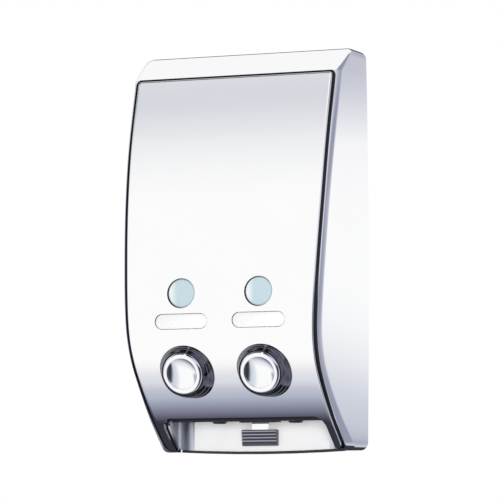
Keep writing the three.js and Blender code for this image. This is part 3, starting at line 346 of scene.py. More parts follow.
def bridged(name: str, rings: Sequence[Sequence[Vector]], closes: bool = False) -> Piece:
    """A closed solid from rings of points joined in order.

    Args:
        name: the piece's name.
        rings: rings with equally many points each, as x, depth and height.
        closes: True to join the last ring to the first, False to close both ends with a face.

    Returns:
        The new object.
    """
    count = len(rings[0])
    points = [point for ring in rings for point in ring]
    faces: list[Sequence[int]] = []
    for i in range(len(rings) if closes else len(rings) - 1):
        here, there = i * count, (i + 1) % len(rings) * count
        faces += [(here + j, here + (j + 1) % count, there + (j + 1) % count, there + j)
                  for j in range(count)]
    if not closes:
        faces += [tuple(range(count))[::-1],
                  tuple(range((len(rings) - 1) * count, len(rings) * count))]
    return solid(name, points, faces)


def level_loft(name: str, heights: Sequence[float],
               outline: Callable[[float], Sequence[Pair]]) -> Piece:
    """A closed solid through level outlines of x and depth."""
    return bridged(name, [[Vector((x, depth, z)) for x, depth in outline(z)] for z in heights])


def turned(name: str, profile: Sequence[Pair], line: Line, segments: int = 96) -> Piece:
    """A profile turned about a line.

    Args:
        name: the piece's name.
        profile: corners of the profile as radius and distance along the line; it closes on itself.
        line: gives a point from the distance along, right and up.
        segments: number of steps round.

    Returns:
        The new object.
    """
    rings = []
    for i in range(segments):
        angle = 2 * math.pi * i / segments
        sin, cos = math.sin(angle), math.cos(angle)
        rings.append([line(along, r * sin, r * cos) for r, along in profile])
    return bridged(name, rings, closes=True)


def drum(name: str, radius: float, near: float, far: float, line: Line, segments: int) -> Piece:
    """A cylinder about a line, from one distance along it to another."""
    return turned(name, [(0, near), (radius, near), (radius, far), (0, far)], line, segments)


def upright(x: float, depth: float) -> Line:
    """A line straight up through a place."""
    return lambda along, right, up: Vector((x + right, depth + up, along))


def outwards(x: float, height: float) -> Line:
    """A line straight out from the wall through a place."""
    return lambda along, right, up: Vector((x + right, along, height + up))


def rounded(x0: float, y0: float, x1: float, y1: float, radius: float,
            steps: int = 12) -> list[Pair]:
    """The outline of a rectangle with rounded corners.

    Args:
        x0: left edge.
        y0: lower edge.
        x1: right edge.
        y1: upper edge.
        radius: the corners' radius.
        steps: number of steps in each corner.

    Returns:
        The corners in order.
    """
    corners = []
    for cx, cy, turn in ((x1 - radius, y1 - radius, 0), (x0 + radius, y1 - radius, 1),
                         (x0 + radius, y0 + radius, 2), (x1 - radius, y0 + radius, 3)):
        for i in range(steps + 1):
            angle = QUARTER * (turn + i / steps)
            corners.append((cx + radius * math.cos(angle), cy + radius * math.sin(angle)))
    return corners


def from_wall(name: str, outline: Sequence[Pair], near: float, far: float) -> Piece:
    """An outline in x and height, drawn out from one depth to another."""
    return bridged(name, [[Vector((x, depth, z)) for x, z in outline] for depth in (near, far)])


def block(name: str, half: float, low: float, high: float, near: float, far: float) -> Piece:
    """A box across the middle, between two heights and two depths."""
    return from_wall(name, [(-half, low), (half, low), (half, high), (-half, high)], near, far)


def across(name: str, profile: Sequence[Pair], left: float, right: float) -> Piece:
    """A side profile in depth and height, drawn across from one x to another."""
    return bridged(name, [[Vector((x, depth, z)) for depth, z in profile] for x in (left, right)])


def upwards(name: str, plan: Sequence[Pair], low: float, high: float) -> Piece:
    """A plan outline in x and depth, drawn upwards."""
    return bridged(name, [[Vector((x, depth, z)) for x, depth in plan] for z in (low, high)])


def settle(piece: Piece) -> None:
    """Makes a piece's modifiers part of its mesh.

    Args:
        piece: the piece.
    """
    bpy.context.view_layer.update()
    evaluated = piece.evaluated_get(bpy.context.evaluated_depsgraph_get())
    made = bpy.data.meshes.new_from_object(evaluated)
    piece.modifiers.clear()
    old, piece.data = piece.data, made
    made.name = piece.name
    bpy.data.meshes.remove(old)


class Joining(str, Enum):
    """The ways in which one solid works on another."""

    CUT = "DIFFERENCE"
    ADD = "UNION"
    KEEP_COMMON = "INTERSECT"


def join(piece: Piece, other: Piece, how: Joining) -> None:
    """Cuts, adds or keeps one solid with another, and takes the other away.

    Args:
        piece: the solid that stays.
        other: the solid that is used up.
        how: how the one works on the other.
    """
    modifier = piece.modifiers.new(how.name.lower(), "BOOLEAN")
    modifier.operation = how.value
    modifier.solver = "EXACT"
    modifier.material_mode = "TRANSFER"
    modifier.object = other
    if not other.data.materials:
        other.data.materials.append(piece.data.materials[0] if piece.data.materials else None)
    settle(piece)
    bpy.data.objects.remove(other)


def carve(piece: Piece, tool: Piece, lining: Finish | None = None) -> None:
    """Cuts one solid out of another, and gives the cut faces a lining.

    Args:
        piece: the solid that stays.
        tool: the solid that is cut out of it.
        lining: the finish of the cut faces, or none for the piece's own.
    """
    if lining:
        dress(tool, lining)
    join(piece, tool, Joining.CUT)


def soften(piece: Piece, width: float, segments: int = 3, angle: float = 30.0) -> None:
    """Rounds a piece's sharp edges, with the light carried by its broad faces.

    Args:
        piece: the piece.
        width: how far back each edge is taken, in millimetres.
        segments: number of steps in the rounding.
        angle: edges that turn less than this, in degrees, are left.
    """
    for face in piece.data.polygons:
        face.use_smooth = True
    bevel = piece.modifiers.new("softened_edges", "BEVEL")
    bevel.width = width / 1000
    bevel.segments = segments
    bevel.limit_method = "ANGLE"
    bevel.angle_limit = math.radians(angle)
    weighted = piece.modifiers.new("broad_faces_lead", "WEIGHTED_NORMAL")
    weighted.keep_sharp = True
    weighted.weight = 60


def sharpen(piece: Piece, angle: float = 38.0) -> None:
    """Keeps the edges of a turned piece crisp where it turns sharply.

    Args:
        piece: the piece.
        angle: edges that turn more than this, in degrees, stay crisp.
    """
    mesh = piece.data
    form = bmesh.new()
    form.from_mesh(mesh)
    for edge in form.edges:
        edge.smooth = not (edge.is_manifold and edge.calc_face_angle(0.0) > math.radians(angle))
    form.to_mesh(mesh)
    form.free()


# Shader maths


class Wire:
    """A socket that takes part in arithmetic: each operation adds a Math node."""

    def __init__(self, tree: Tree, socket: bpy.types.NodeSocket) -> None:
        """Wraps an output socket of a tree."""
        self.tree = tree
        self.socket = socket

    def math(self, operation: str, *values: Any) -> Wire:
        """The result of one Math node."""
        return self.tree.node("ShaderNodeMath", {"operation": operation}, dict(enumerate(values)))

    def __add__(self, other: Any) -> Wire:
        """Sum."""
        return self.math("ADD", self, other)

    __radd__ = __add__

    def __sub__(self, other: Any) -> Wire:
        """Difference."""
        return self.math("SUBTRACT", self, other)

    def __rsub__(self, other: Any) -> Wire:
        """Difference from a number."""
        return self.math("SUBTRACT", other, self)

    def __mul__(self, other: Any) -> Wire:
        """Product."""
        return self.math("MULTIPLY", self, other)

    __rmul__ = __mul__

    def step(self, low: float, high: float) -> Wire:
        """A soft step from 0 at low to 1 at high."""
        return self.tree.node("ShaderNodeMapRange", {"interpolation_type": "SMOOTHSTEP"},
                              {"Value": self, "From Min": low, "From Max": high})

    def band(self, start: float, full: float, fall: float, end: float) -> Wire:
        """1 between two angles, with soft sides, all in degrees."""
        a, b, c, d = (math.radians(v) for v in (start, full, fall, end))
        return self.step(a, b) - self.step(c, d)

    def sibling(self, output: str | int) -> Wire:
        """Another output of the same node."""
        return Wire(self.tree, self.socket.node.outputs[output])


class Tree:
    """A node tree that is written as expressions."""

    def __init__(self, tree: bpy.types.NodeTree) -> None:
        """Starts on an emptied tree."""
        self.tree = tree
        tree.nodes.clear()

    def node(self, kind: str, settings: Mapping[str, Any] | None = None,
             inputs: Mapping[Any, Any] | None = None, output: str | int = 0) -> Wire:
        """Adds a node.

        Args:
            kind: the node's type.
            settings: its settings, set first; "stops" fills a colour ramp.
            inputs: values or wires of its sockets, by name or number.
            output: the socket that the result stands for.

        Returns:
            The wire of that output.
        """
        made = self.tree.nodes.new(kind)
        for name, value in (settings or {}).items():
            if name == "stops":
                self._fill(made.color_ramp, value)
            else:
                setattr(made, name, value)
        for name, value in (inputs or {}).items():
            self._feed(made.inputs[name], value)
        return Wire(self, made.outputs[output])

    def _fill(self, ramp: bpy.types.ColorRamp, stops: Sequence[tuple[float, Color]]) -> None:
        """Fills a ramp with stops.

        Args:
            ramp: the colour ramp.
            stops: positions from 0 to 1, each with its colour.
        """
        while len(ramp.elements) < len(stops):
            ramp.elements.new(1.0)
        for element, (position, color) in zip(ramp.elements, stops):
            element.position = position
            element.color = (*color, 1.0)

    def _feed(self, socket: bpy.types.NodeSocket, value: Any) -> None:
        """Links a wire to a socket, or sets the socket's value.

        Args:
            socket: the socket.
            value: a wire, a number, a vector or a colour.
        """
        if isinstance(value, Wire):
            self.tree.links.new(value.socket, socket)
        elif isinstance(value, tuple) and len(value) == 3 and len(socket.default_value) == 4:
            socket.default_value = (*value, 1.0)
        else:
            socket.default_value = value

    def finish(self, kind: str, surface: Wire) -> None:
        """Joins a surface to an output node, which the tree ends with."""
        output = self.tree.nodes.new(kind)
        self._feed(output.inputs["Surface"], surface)

    def here(self) -> Wire:
        """Where a point of the surface is, in the object's own metres."""
        return self.node("ShaderNodeTexCoord", output="Object")

    def stretched(self, scale: Color) -> Wire:
        """Where a point of the surface is, scaled along each axis."""
        return self.node("ShaderNodeMapping", None, {"Vector": self.here(), "Scale": scale})

    def split(self, vector: Wire) -> tuple[Wire, Wire, Wire]:
        """The x, y and z of a vector."""
        x = self.node("ShaderNodeSeparateXYZ", None, {0: vector})
        return x, x.sibling(1), x.sibling(2)

    def noise(self, scale: float, detail: float = 2.0, where: Wire | None = None) -> Wire:
        """Noise between 0 and 1, in cycles to the metre."""
        return self.node("ShaderNodeTexNoise", None,
                         {"Vector": where or self.here(), "Scale": scale, "Detail": detail})

    def blend(self, share: Any, first: Any, second: Any) -> Wire:
        """A colour between two."""
        return self.node("ShaderNodeMix", {"data_type": "RGBA"}, {0: share, 6: first, 7: second}, 2)

    def ramp(self, angle: Wire, stops: Sequence[tuple[float, Color]]) -> Wire:
        """A colour by angle, its stops in degrees from -180 to 180."""
        scaled = angle * (0.5 / math.pi) + 0.5
        return self.node("ShaderNodeValToRGB", {"stops": [(d / 360 + 0.5, c) for d, c in stops]},
                         {"Fac": scaled})

    def bump(self, height: Wire, distance: float, strength: float = 1.0) -> Wire:
        """A normal bumped by a height, its distance in millimetres."""
        return self.node("ShaderNodeBump", None, {
            "Strength": strength, "Distance": distance / 1000, "Height": height})


@dataclass(frozen=True)
class Finish:
    """A finish of one of the dispenser's materials."""

    name: str
    color: Color
    roughness: float

    def material(self) -> bpy.types.Material:
        """The finish as a material, made once.

        Returns:
            The material.
        """
        found = bpy.data.materials.get(self.name)
        if found:
            return found
        made = bpy.data.materials.new(self.name)
        made.use_nodes = True
        tree = Tree(made.node_tree)
        tree.finish("ShaderNodeOutputMaterial", self.surface(tree))
        return made

    def surface(self, tree: Tree) -> Wire:
        """The finish's shader. Each kind of finish has its own."""
        raise NotImplementedError

    def toned(self, tree: Tree, share: Wire, darkest: float) -> Wire:
        """The finish's colour, darkened down to a share of itself here and there."""
        return tree.blend(share, self.color, tuple(c * darkest for c in self.color))

    def shader(self, tree: Tree, tone: Wire, inputs: Mapping[str, Any]) -> Wire:
        """A Principled shader of one tone with further inputs."""
        return tree.node("ShaderNodeBsdfPrincipled", None, {"Base Color": tone, **inputs})


@dataclass(frozen=True)
class Plating(Finish):
    """Polished plating, with the faintest ripple and wiped haze."""

    haze: float = 0.02
    ripple: float = 0.004

    def surface(self, tree: Tree) -> Wire:
        """Metal whose gloss varies a little over its surface.

        Args:
            tree: the material's tree.

        Returns:
            The wire of the shader.
        """
        cloud = tree.noise(scale=38, detail=3)
        wiped = tree.noise(scale=420, where=tree.stretched((1.0, 1.0, 0.12)))
        return self.shader(tree, self.toned(tree, cloud, darkest=0.985), {
            "Metallic": 1.0, "Roughness": self.roughness + self.haze * (cloud * wiped),
            "Normal": tree.bump(tree.noise(scale=260, detail=1), self.ripple, strength=0.6)})


@dataclass(frozen=True)
class Moulding(Finish):
    """Moulded plastic with a fine texture."""

    grain: float = 0.02
    uneven: float = 0.08

    def surface(self, tree: Tree) -> Wire:
        """Plastic with a fine grain and slight unevenness of colour.

        Args:
            tree: the material's tree.

        Returns:
            The wire of the shader.
        """
        fine = tree.noise(scale=2600, detail=3)
        return self.shader(tree, self.toned(tree, tree.noise(scale=60), darkest=0.93), {
            "Roughness": self.roughness + self.uneven * (fine - 0.5),
            "Normal": tree.bump(fine, self.grain)})


@dataclass(frozen=True)
class TurnedSteel(Finish):
    """Drawn or turned steel with fine lines round it."""

    uneven: float = 0.12

    def surface(self, tree: Tree) -> Wire:
        """Steel with fine drawn lines.

        Args:
            tree: the material's tree.

        Returns:
            The wire of the shader.
        """
        drawn = tree.noise(scale=1400, where=tree.stretched((1.0, 0.1, 1.0)))
        return self.shader(tree, self.toned(tree, drawn, darkest=0.86), {
            "Metallic": 1.0, "Roughness": self.roughness + self.uneven * drawn,
            "Normal": tree.bump(drawn, distance=0.01)})


@dataclass(frozen=True)
class SightLens(Finish):
    """Tinted clear plastic of the sight windows, with a painted highlight that makes it paler
    towards its left.
    """

    pale: Color = (0.93, 0.96, 0.98)
    spacing: float = 0.02665
    reach: float = 0.0093
    fade: Pair = (-0.95, -0.2)
    uneven: float = 0.05

    def surface(self, tree: Tree) -> Wire:
        """Tinted plastic under a clear coat.

        Args:
            tree: the material's tree.

        Returns:
            The wire of the shader.
        """
        cloud = tree.noise(scale=90)
        x, _, _ = tree.split(tree.here())
        # Painted highlight: towards the left of each lens its tint gives way to the pale colour.
        beside = x - x.math("SIGN", x) * self.spacing
        from_left = beside.step(*(self.reach * share for share in self.fade))
        return self.shader(tree, tree.blend(
            from_left * (cloud * 0.3 + 0.85), self.pale, self.color), {
            "Roughness": self.roughness + self.uneven * cloud, "Coat Weight": 1.0,
            "Coat Roughness": 0.02, "IOR": 1.49, "Normal": tree.bump(cloud, distance=0.02)})


@dataclass(frozen=True)
class BottleWall(Finish):
    """Translucent blown plastic of the bottles."""

    uneven: float = 0.1
    thinnest: float = 0.86

    def surface(self, tree: Tree) -> Wire:
        """Milky plastic that lets some light through.

        Args:
            tree: the material's tree.

        Returns:
            The wire of the shader.
        """
        cloud = tree.noise(scale=45, detail=3)
        return self.shader(tree, self.toned(tree, cloud, darkest=0.94), {
            "Roughness": self.roughness + self.uneven * cloud,
            "Alpha": self.thinnest + self.uneven * cloud,
            "Normal": tree.bump(tree.noise(scale=900), distance=0.03)})


@dataclass(frozen=True)
class PaleFloor(Finish):
    """Matt floor paint, which stays pale to the camera where little light reaches it."""

    lift: float = 0.7

    def surface(self, tree: Tree) -> Wire:
        """Matt paint, lifted towards white for the camera alone.

        Args:
            tree: the material's tree.

        Returns:
            The wire of the shader.
        """
        tone = self.toned(tree, tree.noise(scale=3), darkest=0.98)
        paint = self.shader(tree, tone, {"Roughness": self.roughness})
        glow = tree.node("ShaderNodeEmission", None, {"Color": tone, "Strength": 1.0})
        seen = tree.node("ShaderNodeLightPath", output="Is Camera Ray")
        return tree.node("ShaderNodeMixShader", None, {0: seen * self.lift, 1: paint, 2: glow})


CASE = Plating("case_plating", (0.975, 0.978, 0.985), 0.035)
PANEL = Plating("panel_plating", (0.985, 0.986, 0.988), 0.03, haze=0.015, ripple=0.002)
LINER = Plating("liner_plating", (0.66, 0.68, 0.76), 0.3)
# Near-black moulding that paints the shadow in the groove round the front panel.
PAINTED_SHADOW_GAP = Moulding("painted_shadow_gap", (0.012, 0.013, 0.018), 0.35)
# Dark plating: painted shade in the gaps round the panel's arch, windows, label beds and lenses,
# and the dark flare of the collars.
SHADE_AND_DARK_PLATING = Plating("dark_plating_and_painted_shade", (0.17, 0.172, 0.2), 0.05)
# Dark moulding on the case's inner faces: painted shade inside the case.
SHADED_INSIDE = Moulding("case_inside_painted_shade", (0.06, 0.06, 0.075), 0.5)
# Greyed plating under the arch: painted shade on its soffit and legs.
SHADED_SOFFIT = Plating("arch_painted_shade_plating", (0.5, 0.52, 0.6), 0.12)
DARK = Moulding("dark_moulding", (0.075, 0.075, 0.1), 0.34)
# Paler plating on the crests of the latch's upper ribs: a painted highlight.
RIDGE_HIGHLIGHT = Plating("latch_ridge_painted_highlight", (0.4, 0.4, 0.47), 0.3)
BLACK = Moulding("black_moulding", (0.012, 0.012, 0.018), 0.4)
WHITE = Moulding("white_moulding", (0.9, 0.9, 0.89), 0.32, grain=0.008)
LABEL = Moulding("label_satin", (1.0, 1.0, 1.0), 0.4, grain=0.003)
ENAMEL = Moulding("white_enamel", (1.0, 1.0, 1.0), 0.25, grain=0.004)
RUBBER = Moulding("seal_rubber_black", (0.03, 0.032, 0.036), 0.65, grain=0.03)
STEEL = TurnedSteel("drawn_steel", (0.62, 0.63, 0.66), 0.22)
LENS = SightLens("sight_lens", (0.54, 0.68, 0.74), 0.12)
FLOOR = PaleFloor("pale_floor", (0.93, 0.93, 0.935), 0.9)
BOTTLE = BottleWall("bottle_wall", (0.85, 0.9, 0.93), 0.28)


def dress(piece: Piece, finish: Finish) -> None:
    """Gives a piece one finish all over."""
    piece.data.materials.clear()
    piece.data.materials.append(finish.material())


def zone(piece: Piece, finish: Finish, holds: Callable[[float, float, float], bool]) -> None:
    """Gives the faces of a piece whose middles pass a test another finish.

    Args:
        piece: the dressed piece.
        finish: the other finish.
        holds: the test, on the x, depth and height of a face's middle.
    """
    piece.data.materials.append(finish.material())
    for face in piece.data.polygons:
        middle = face.center * 1000
        if holds(middle.x, -middle.y, middle.z + HEIGHT / 2):
            face.material_index = len(piece.data.materials) - 1


def seat(piece: Piece, body: Body, stands_for: str) -> None:
    """Sets a dressed piece on its body, in place of the solid that it stands for.

    Args:
        piece: the dressed piece.
        body: the body that it rides on.
        stands_for: the solid that it replaces.
    """
    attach(piece, body.value)
    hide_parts(stands_for)
    LOG.info("%s rides on %s, %d faces", piece.name, body.value, len(piece.data.polygons))


# The case


def levels(low: float, high: float, step: float, low_corner: float = 0.0,
           high_corner: float = 0.0, extra: Sequence[float] = (), bends: int = 8,
           closest: float = 0.02) -> list[float]:
    """Heights in even steps, close together where a corner is rounded.

    Args:
        low: the lowest height.
        high: the highest height.
        step: the even step.
        low_corner: radius of a corner at the lower end.
        high_corner: radius of a corner at the upper end.
        extra: further heights.
        bends: number of steps in a corner.
        closest: heights nearer than this are dropped.

    Returns:
        The heights in order.
    """
    count = max(1, round((high - high_corner - low - low_corner) / step))
    even = np.linspace(low + low_corner, high - high_corner, count + 1)
    bend = [1 - math.cos(QUARTER * i / bends) for i in range(bends)]
    found = sorted([*even, *extra, *(low + low_corner * b for b in bend if low_corner),
                    *(high - high_corner * b for b in bend if high_corner)])
    return [z for i, z in enumerate(found) if i == 0 or z - found[i - 1] > closest]


def mirrored(half: Sequence[Pair]) -> list[Pair]:
    """The right half of an outline from back to front, with its mirror image."""
    return [*half, *((-x, depth) for x, depth in reversed(half))]


def fillet(before: Pair, corner: Pair, after: Pair, back: float, ahead: float,
           steps: int = 5) -> list[Pair]:
    """A rounded corner between two straight runs.

    Args:
        before: where the first run starts.
        corner: the sharp corner.
        after: where the second run ends.
        back: how far back along the first run the rounding starts.
        ahead: how far along the second run it ends.
        steps: number of steps in the rounding.

    Returns:
        The points of the rounding.
    """
    p, a, b = (Vector(v) for v in (corner, before, after))
    start, end = p + (a - p).normalized() * back, p + (b - p).normalized() * ahead
    found = []
    for i in range(steps + 1):
        t = i / steps
        point = start * (1 - t) ** 2 + p * 2 * t * (1 - t) + end * t ** 2
        found.append((point.x, point.y))
    return found


def arch_cutter(case: CaseShell, wider: float = 0.0) -> Piece:
    """The solid that cuts the arch over the alcove, with so much added round it."""
    half, top = case.arch_half + wider, case.arch_top + wider
    return from_wall("arch", rounded(-half, -top, half, top, case.arch_corner + wider), -PAST,
                     case.form.belly + PAST)


def collar_cutter(line: PumpLine, radius: float = 16.2, reach: float = 26.0) -> Piece:
    """The solid that cuts a collar's hole."""
    return drum("collar_hole", radius, -reach, PAST, line.at, segments=64)


def window_cutter(x: float, radius: float = 9.6, near: float = 30.0, far: float = 80.0) -> Piece:
    """The solid that cuts a sight window's hole."""
    return drum("window_hole", radius, near, far, outwards(x, WINDOW_HEIGHT), segments=96)


def behind_case(name: str, form: CaseForm, half: float, heights: Sequence[float],
                short: float = 0.0) -> Piece:
    """The room behind the case's inner face, or a little short of it."""
    return level_loft(name, heights, lambda z: [
        (half, -PAST), (-half, -PAST), (-half, form.cavity(z) - short),
        (half, form.cavity(z) - short)])


@dataclass
class CaseShell:
    """The bright case behind the front panel."""

    form: CaseForm
    bottom: float = 1.7
    back_gap: float = 0.5
    top_corner: float = 4.0
    foot_corner: float = 5.0
    hinge_depth: float = 7.0
    hinge_height: float = 254.5
    hinge_sweep: float = 6.5
    edge: float = 0.9
    ledge_width: float = 0.6
    ledge_flat: float = 0.4
    ledge_sink: float = 0.6
    sink_fade: float = 6.0
    bezel_spread: float = 1.7
    bezel_flat: float = 0.3
    lip_back: float = 1.9
    lip_ahead: Pair = (0.45, 0.9)
    groove_extra: float = 0.8
    recess_lift: float = 0.25
    recess_corner: float = 3.6
    top_roll: float = 1.4
    step: float = 1.6
    arch_half: float = 55.6
    arch_top: float = 21.7
    arch_corner: float = 6.0
    liner_half: float = 57.9

    def back(self, z: float) -> float:
        """Depth of the case's rear edge, which clears the wall as the case swings.

        Args:
            z: the height.

        Returns:
            The depth.
        """
        if z <= self.hinge_height:
            return self.back_gap
        return self.hinge_depth - math.sqrt(self.hinge_sweep ** 2 - (z - self.hinge_height) ** 2)

    def outline(self, z: float) -> list[Pair]:
        """The outer outline at a height.

        Args:
            z: the height.

        Returns:
            The outline as x and depth.
        """
        f, out = self.form, self.form.bezel_share(z)
        inset = drawn_in(self.top_corner, HEIGHT - z) + drawn_in(self.foot_corner, z - self.bottom)
        roll = drawn_in(self.top_roll, HEIGHT - z)
        ledge = f.panel_half(z) + f.groove + self.groove_extra + self.ledge_width
        lip_x = min(ledge + self.bezel_spread * out, f.bevel_half(z) - f.bevel_least) - inset
        sink = self.ledge_sink * (1 - min(out * self.sink_fade, 1.0))
        rear = (f.wall_half(z) - inset, self.back(z))
        bend = (f.bevel_half(z) - inset, f.bevel(z) - roll)
        lip = (lip_x, f.case(z) - sink - roll)
        inner = (lip_x - self.ledge_width - self.ledge_flat - self.bezel_flat * out,
                 f.case(z) - roll)
        ahead = self.ledge_width * self.lip_ahead[0] + self.lip_ahead[1] * out
        return mirrored([rear, *fillet(rear, bend, lip, self.edge, self.edge),
                         *fillet(bend, lip, inner, self.lip_back, ahead), inner])

    def hollow(self, z: float) -> list[Pair]:
        """The cavity's outline at a height.

        Args:
            z: the height.

        Returns:
            The outline as x and depth.
        """
        f = self.form
        return mirrored([
            (f.wall_half(z) - f.wall, -PAST),
            (f.bevel_half(z) - f.wall, f.bevel(z) - f.wall / 2 * f.slant(z)),
            (f.panel_half(z) - f.wall / 2, f.cavity(z))])

    def recess(self, z: float) -> list[Pair]:
        """The outline at a height of the recess that holds the front panel.

        Args:
            z: the height.

        Returns:
            The outline as x and depth.
        """
        f = self.form
        wide = f.groove + self.groove_extra
        half = (f.panel_half(z) + wide - drawn_in(f.panel_corner + wide, self.recess_top - z)
                - drawn_in(self.foot_corner, z - self.bottom))
        floor = f.front(z) - (f.panel_thick + GAP) * f.slant(z)
        return mirrored([(half, floor), (half, f.belly + PAST)])

    @property
    def recess_top(self) -> float:
        """Height of the recess's upper edge."""
        return self.form.bezel_low + self.recess_lift

    def build(self) -> None:
        """Builds and dresses the case."""
        f = self.form
        shell = level_loft("case_shell", levels(
            self.bottom, HEIGHT, self.step, self.foot_corner, self.top_corner,
            [f.bezel_low, f.bezel_low + 1, f.bezel_low + 3, self.hinge_height]), self.outline)
        dress(shell, CASE)
        heights = levels(self.bottom + f.wall, HEIGHT - f.wall, step=4.0, extra=[f.bezel_low])
        # The cavity's faces take the dark inner moulding, which paints the shade inside the case.
        carve(shell, level_loft("hollow", heights, self.hollow), SHADED_INSIDE)
        # The recess's walls and floor take the near-black moulding: painted shadow in the groove
        # round the panel.
        heights = levels(self.bottom + f.wall / 2, self.recess_top, self.step,
                         high_corner=self.recess_corner)
        carve(shell, level_loft("recess", heights, self.recess), PAINTED_SHADOW_GAP)
        # The arch's soffit and legs take the greyed plating: painted shade under the arch.
        carve(shell, arch_cutter(self), SHADED_SOFFIT)
        carve(shell, behind_case("liner_room", f, self.liner_half + GAP,
                                 levels(0, self.bottom + 2 * f.wall, step=0.5)))
        for side in HANDS.values():
            line = PumpLine(side)
            carve(shell, collar_cutter(line))
            carve(shell, window_cutter(line.x))
        soften(shell, width=0.35)
        seat(shell, Body.COVER, "cover_shell")


def pill(x: float, inset: float) -> list[Pair]:
    """A label's outline.

    Args:
        x: the label's middle.
        inset: how far the outline is drawn in.

    Returns:
        The outline as x and height.
    """
    length, height = LABEL_SIZE
    return rounded(x - length / 2 + inset, LABEL_HEIGHT - height / 2 + inset,
                   x + length / 2 - inset, LABEL_HEIGHT + height / 2 - inset,
                   height / 2 - inset - HAIR, steps=24)


@dataclass
class FrontPanel:
    """The raised front panel, bright as a mirror."""

    case: CaseShell
    edge: float = 0.9
    edge_steps: int = 6
    rim_points: int = 9
    lean: float = math.radians(9)
    lean_run: float = 1.4
    step: float = 1.2
    label_bed: float = 1.6
    arch_margin: float = 0.9

    def outline(self, z: float) -> list[Pair]:
        """The panel's outline at a height.

        Args:
            z: the height.

        Returns:
            The outline as x and depth.
        """
        f, case = self.case.form, self.case
        half = (f.panel_half(z) - drawn_in(f.panel_corner, f.panel_top - z)
                - drawn_in(case.foot_corner, z - case.bottom))
        roll = drawn_in(self.edge, f.panel_top - z) + drawn_in(self.edge, z - self.low)
        front = f.front(z) - roll
        back = f.front(z) - f.panel_thick * f.slant(z)
        brow = front - self.lean_run * math.tan(self.lean)
        rim = [(half - self.edge * (1 - math.sin(a)),
                brow - self.edge * (math.cos(self.lean) - math.cos(a)))
               for a in np.linspace(QUARTER, self.lean, self.rim_points)]
        return mirrored([(half, back), *rim, (rim[-1][0] - self.lean_run, front)])

    @property
    def low(self) -> float:
        """Height of the panel's lower edge."""
        return self.case.bottom + self.case.form.wall / 2 + GAP

    def build(self) -> None:
        """Builds and dresses the panel."""
        f = self.case.form
        panel = level_loft("mirror_front", levels(
            self.low, f.panel_top, self.step, self.edge, f.panel_corner,
            [f.panel_top - self.edge * (1 - math.cos(QUARTER * i / self.edge_steps))
             for i in range(self.edge_steps)]), self.outline)
        dress(panel, PANEL)
        # The arch, the window holes and the label beds are lined with dark plating: painted shade
        # in the gaps round them.
        carve(panel, arch_cutter(self.case, self.arch_margin), SHADE_AND_DARK_PLATING)
        for side in HANDS.values():
            line = PumpLine(side)
            carve(panel, collar_cutter(line))
            carve(panel, window_cutter(line.x), SHADE_AND_DARK_PLATING)
            carve(panel, from_wall("label_bed", pill(line.x, -GAP),
                                   f.front(LABEL_HEIGHT) - self.label_bed, f.belly + PAST), SHADE_AND_DARK_PLATING)
        soften(panel, width=0.3)
        seat(panel, Body.COVER, "front_panel")


@dataclass
class WindowAndLabel:
    """The sight window and the bare label plate over one button."""

    form: CaseForm
    hand: str
    window_radius: float = 9.3
    window_edge: float = 1.2
    window_round: Pair = (0.12, 0.85)
    painted_shade_reach: float = 6.0
    dome: float = 0.5
    dome_share: float = 0.93
    dome_steps: int = 14
    flange: float = 1.6
    flange_thick: float = 1.2
    sink: float = 0.3
    label_thick: float = 1.0
    label_edge: Sequence[Pair] = ((0, 0.25), (0.08, 0.08), (0.25, 0))

    def build(self) -> None:
        """Builds and dresses both."""
        x = PumpLine(HANDS[self.hand]).x
        self.build_window(x)
        self.build_label(x)

    def build_window(self, x: float) -> None:
        """The domed window, with painted shade round its edge.

        Args:
            x: the window's middle.
        """
        front = self.form.front(WINDOW_HEIGHT) - self.sink
        bed = self.form.cavity(WINDOW_HEIGHT + self.window_radius + self.flange) - GAP
        r, wide = self.window_radius, self.window_radius + self.flange
        inset, drop = self.window_round
        steps = self.dome_steps
        dome = [(r * math.sin(QUARTER * i / steps) * self.dome_share,
                 front - self.dome * (i / steps) ** 2) for i in range(steps + 1)]
        lens = turned(f"sight_lens_{self.hand}", [
            (0, bed - self.flange_thick), (wide, bed - self.flange_thick), (wide, bed), (r, bed),
            (r, front - self.window_edge), (r - inset, front - drop), *reversed(dome)],
            outwards(x, WINDOW_HEIGHT))
        dress(lens, LENS)
        # Dark plating on the lens's side wall paints the shade in the gap round it.
        near, far, inner = front - self.painted_shade_reach, front - drop + HAIR, r - inset - 2 * HAIR
        zone(lens, SHADE_AND_DARK_PLATING, lambda px, depth, pz: near < depth < far
             and math.hypot(px - x, pz - WINDOW_HEIGHT) > inner)
        seat(lens, Body.COVER, f"sight_window_{self.hand}")

    def build_label(self, x: float) -> None:
        """The bare label plate, with a fine rounded edge.

        Args:
            x: the label's middle.
        """
        face = self.form.front(LABEL_HEIGHT) - self.sink
        plate = bridged(f"bare_label_{self.hand}", [
            [Vector((px, face - drop, pz)) for px, pz in pill(x, inset)]
            for inset, drop in ((0, self.label_thick), *self.label_edge)])
        dress(plate, LABEL)
        seat(plate, Body.COVER, f"label_plate_{self.hand}")


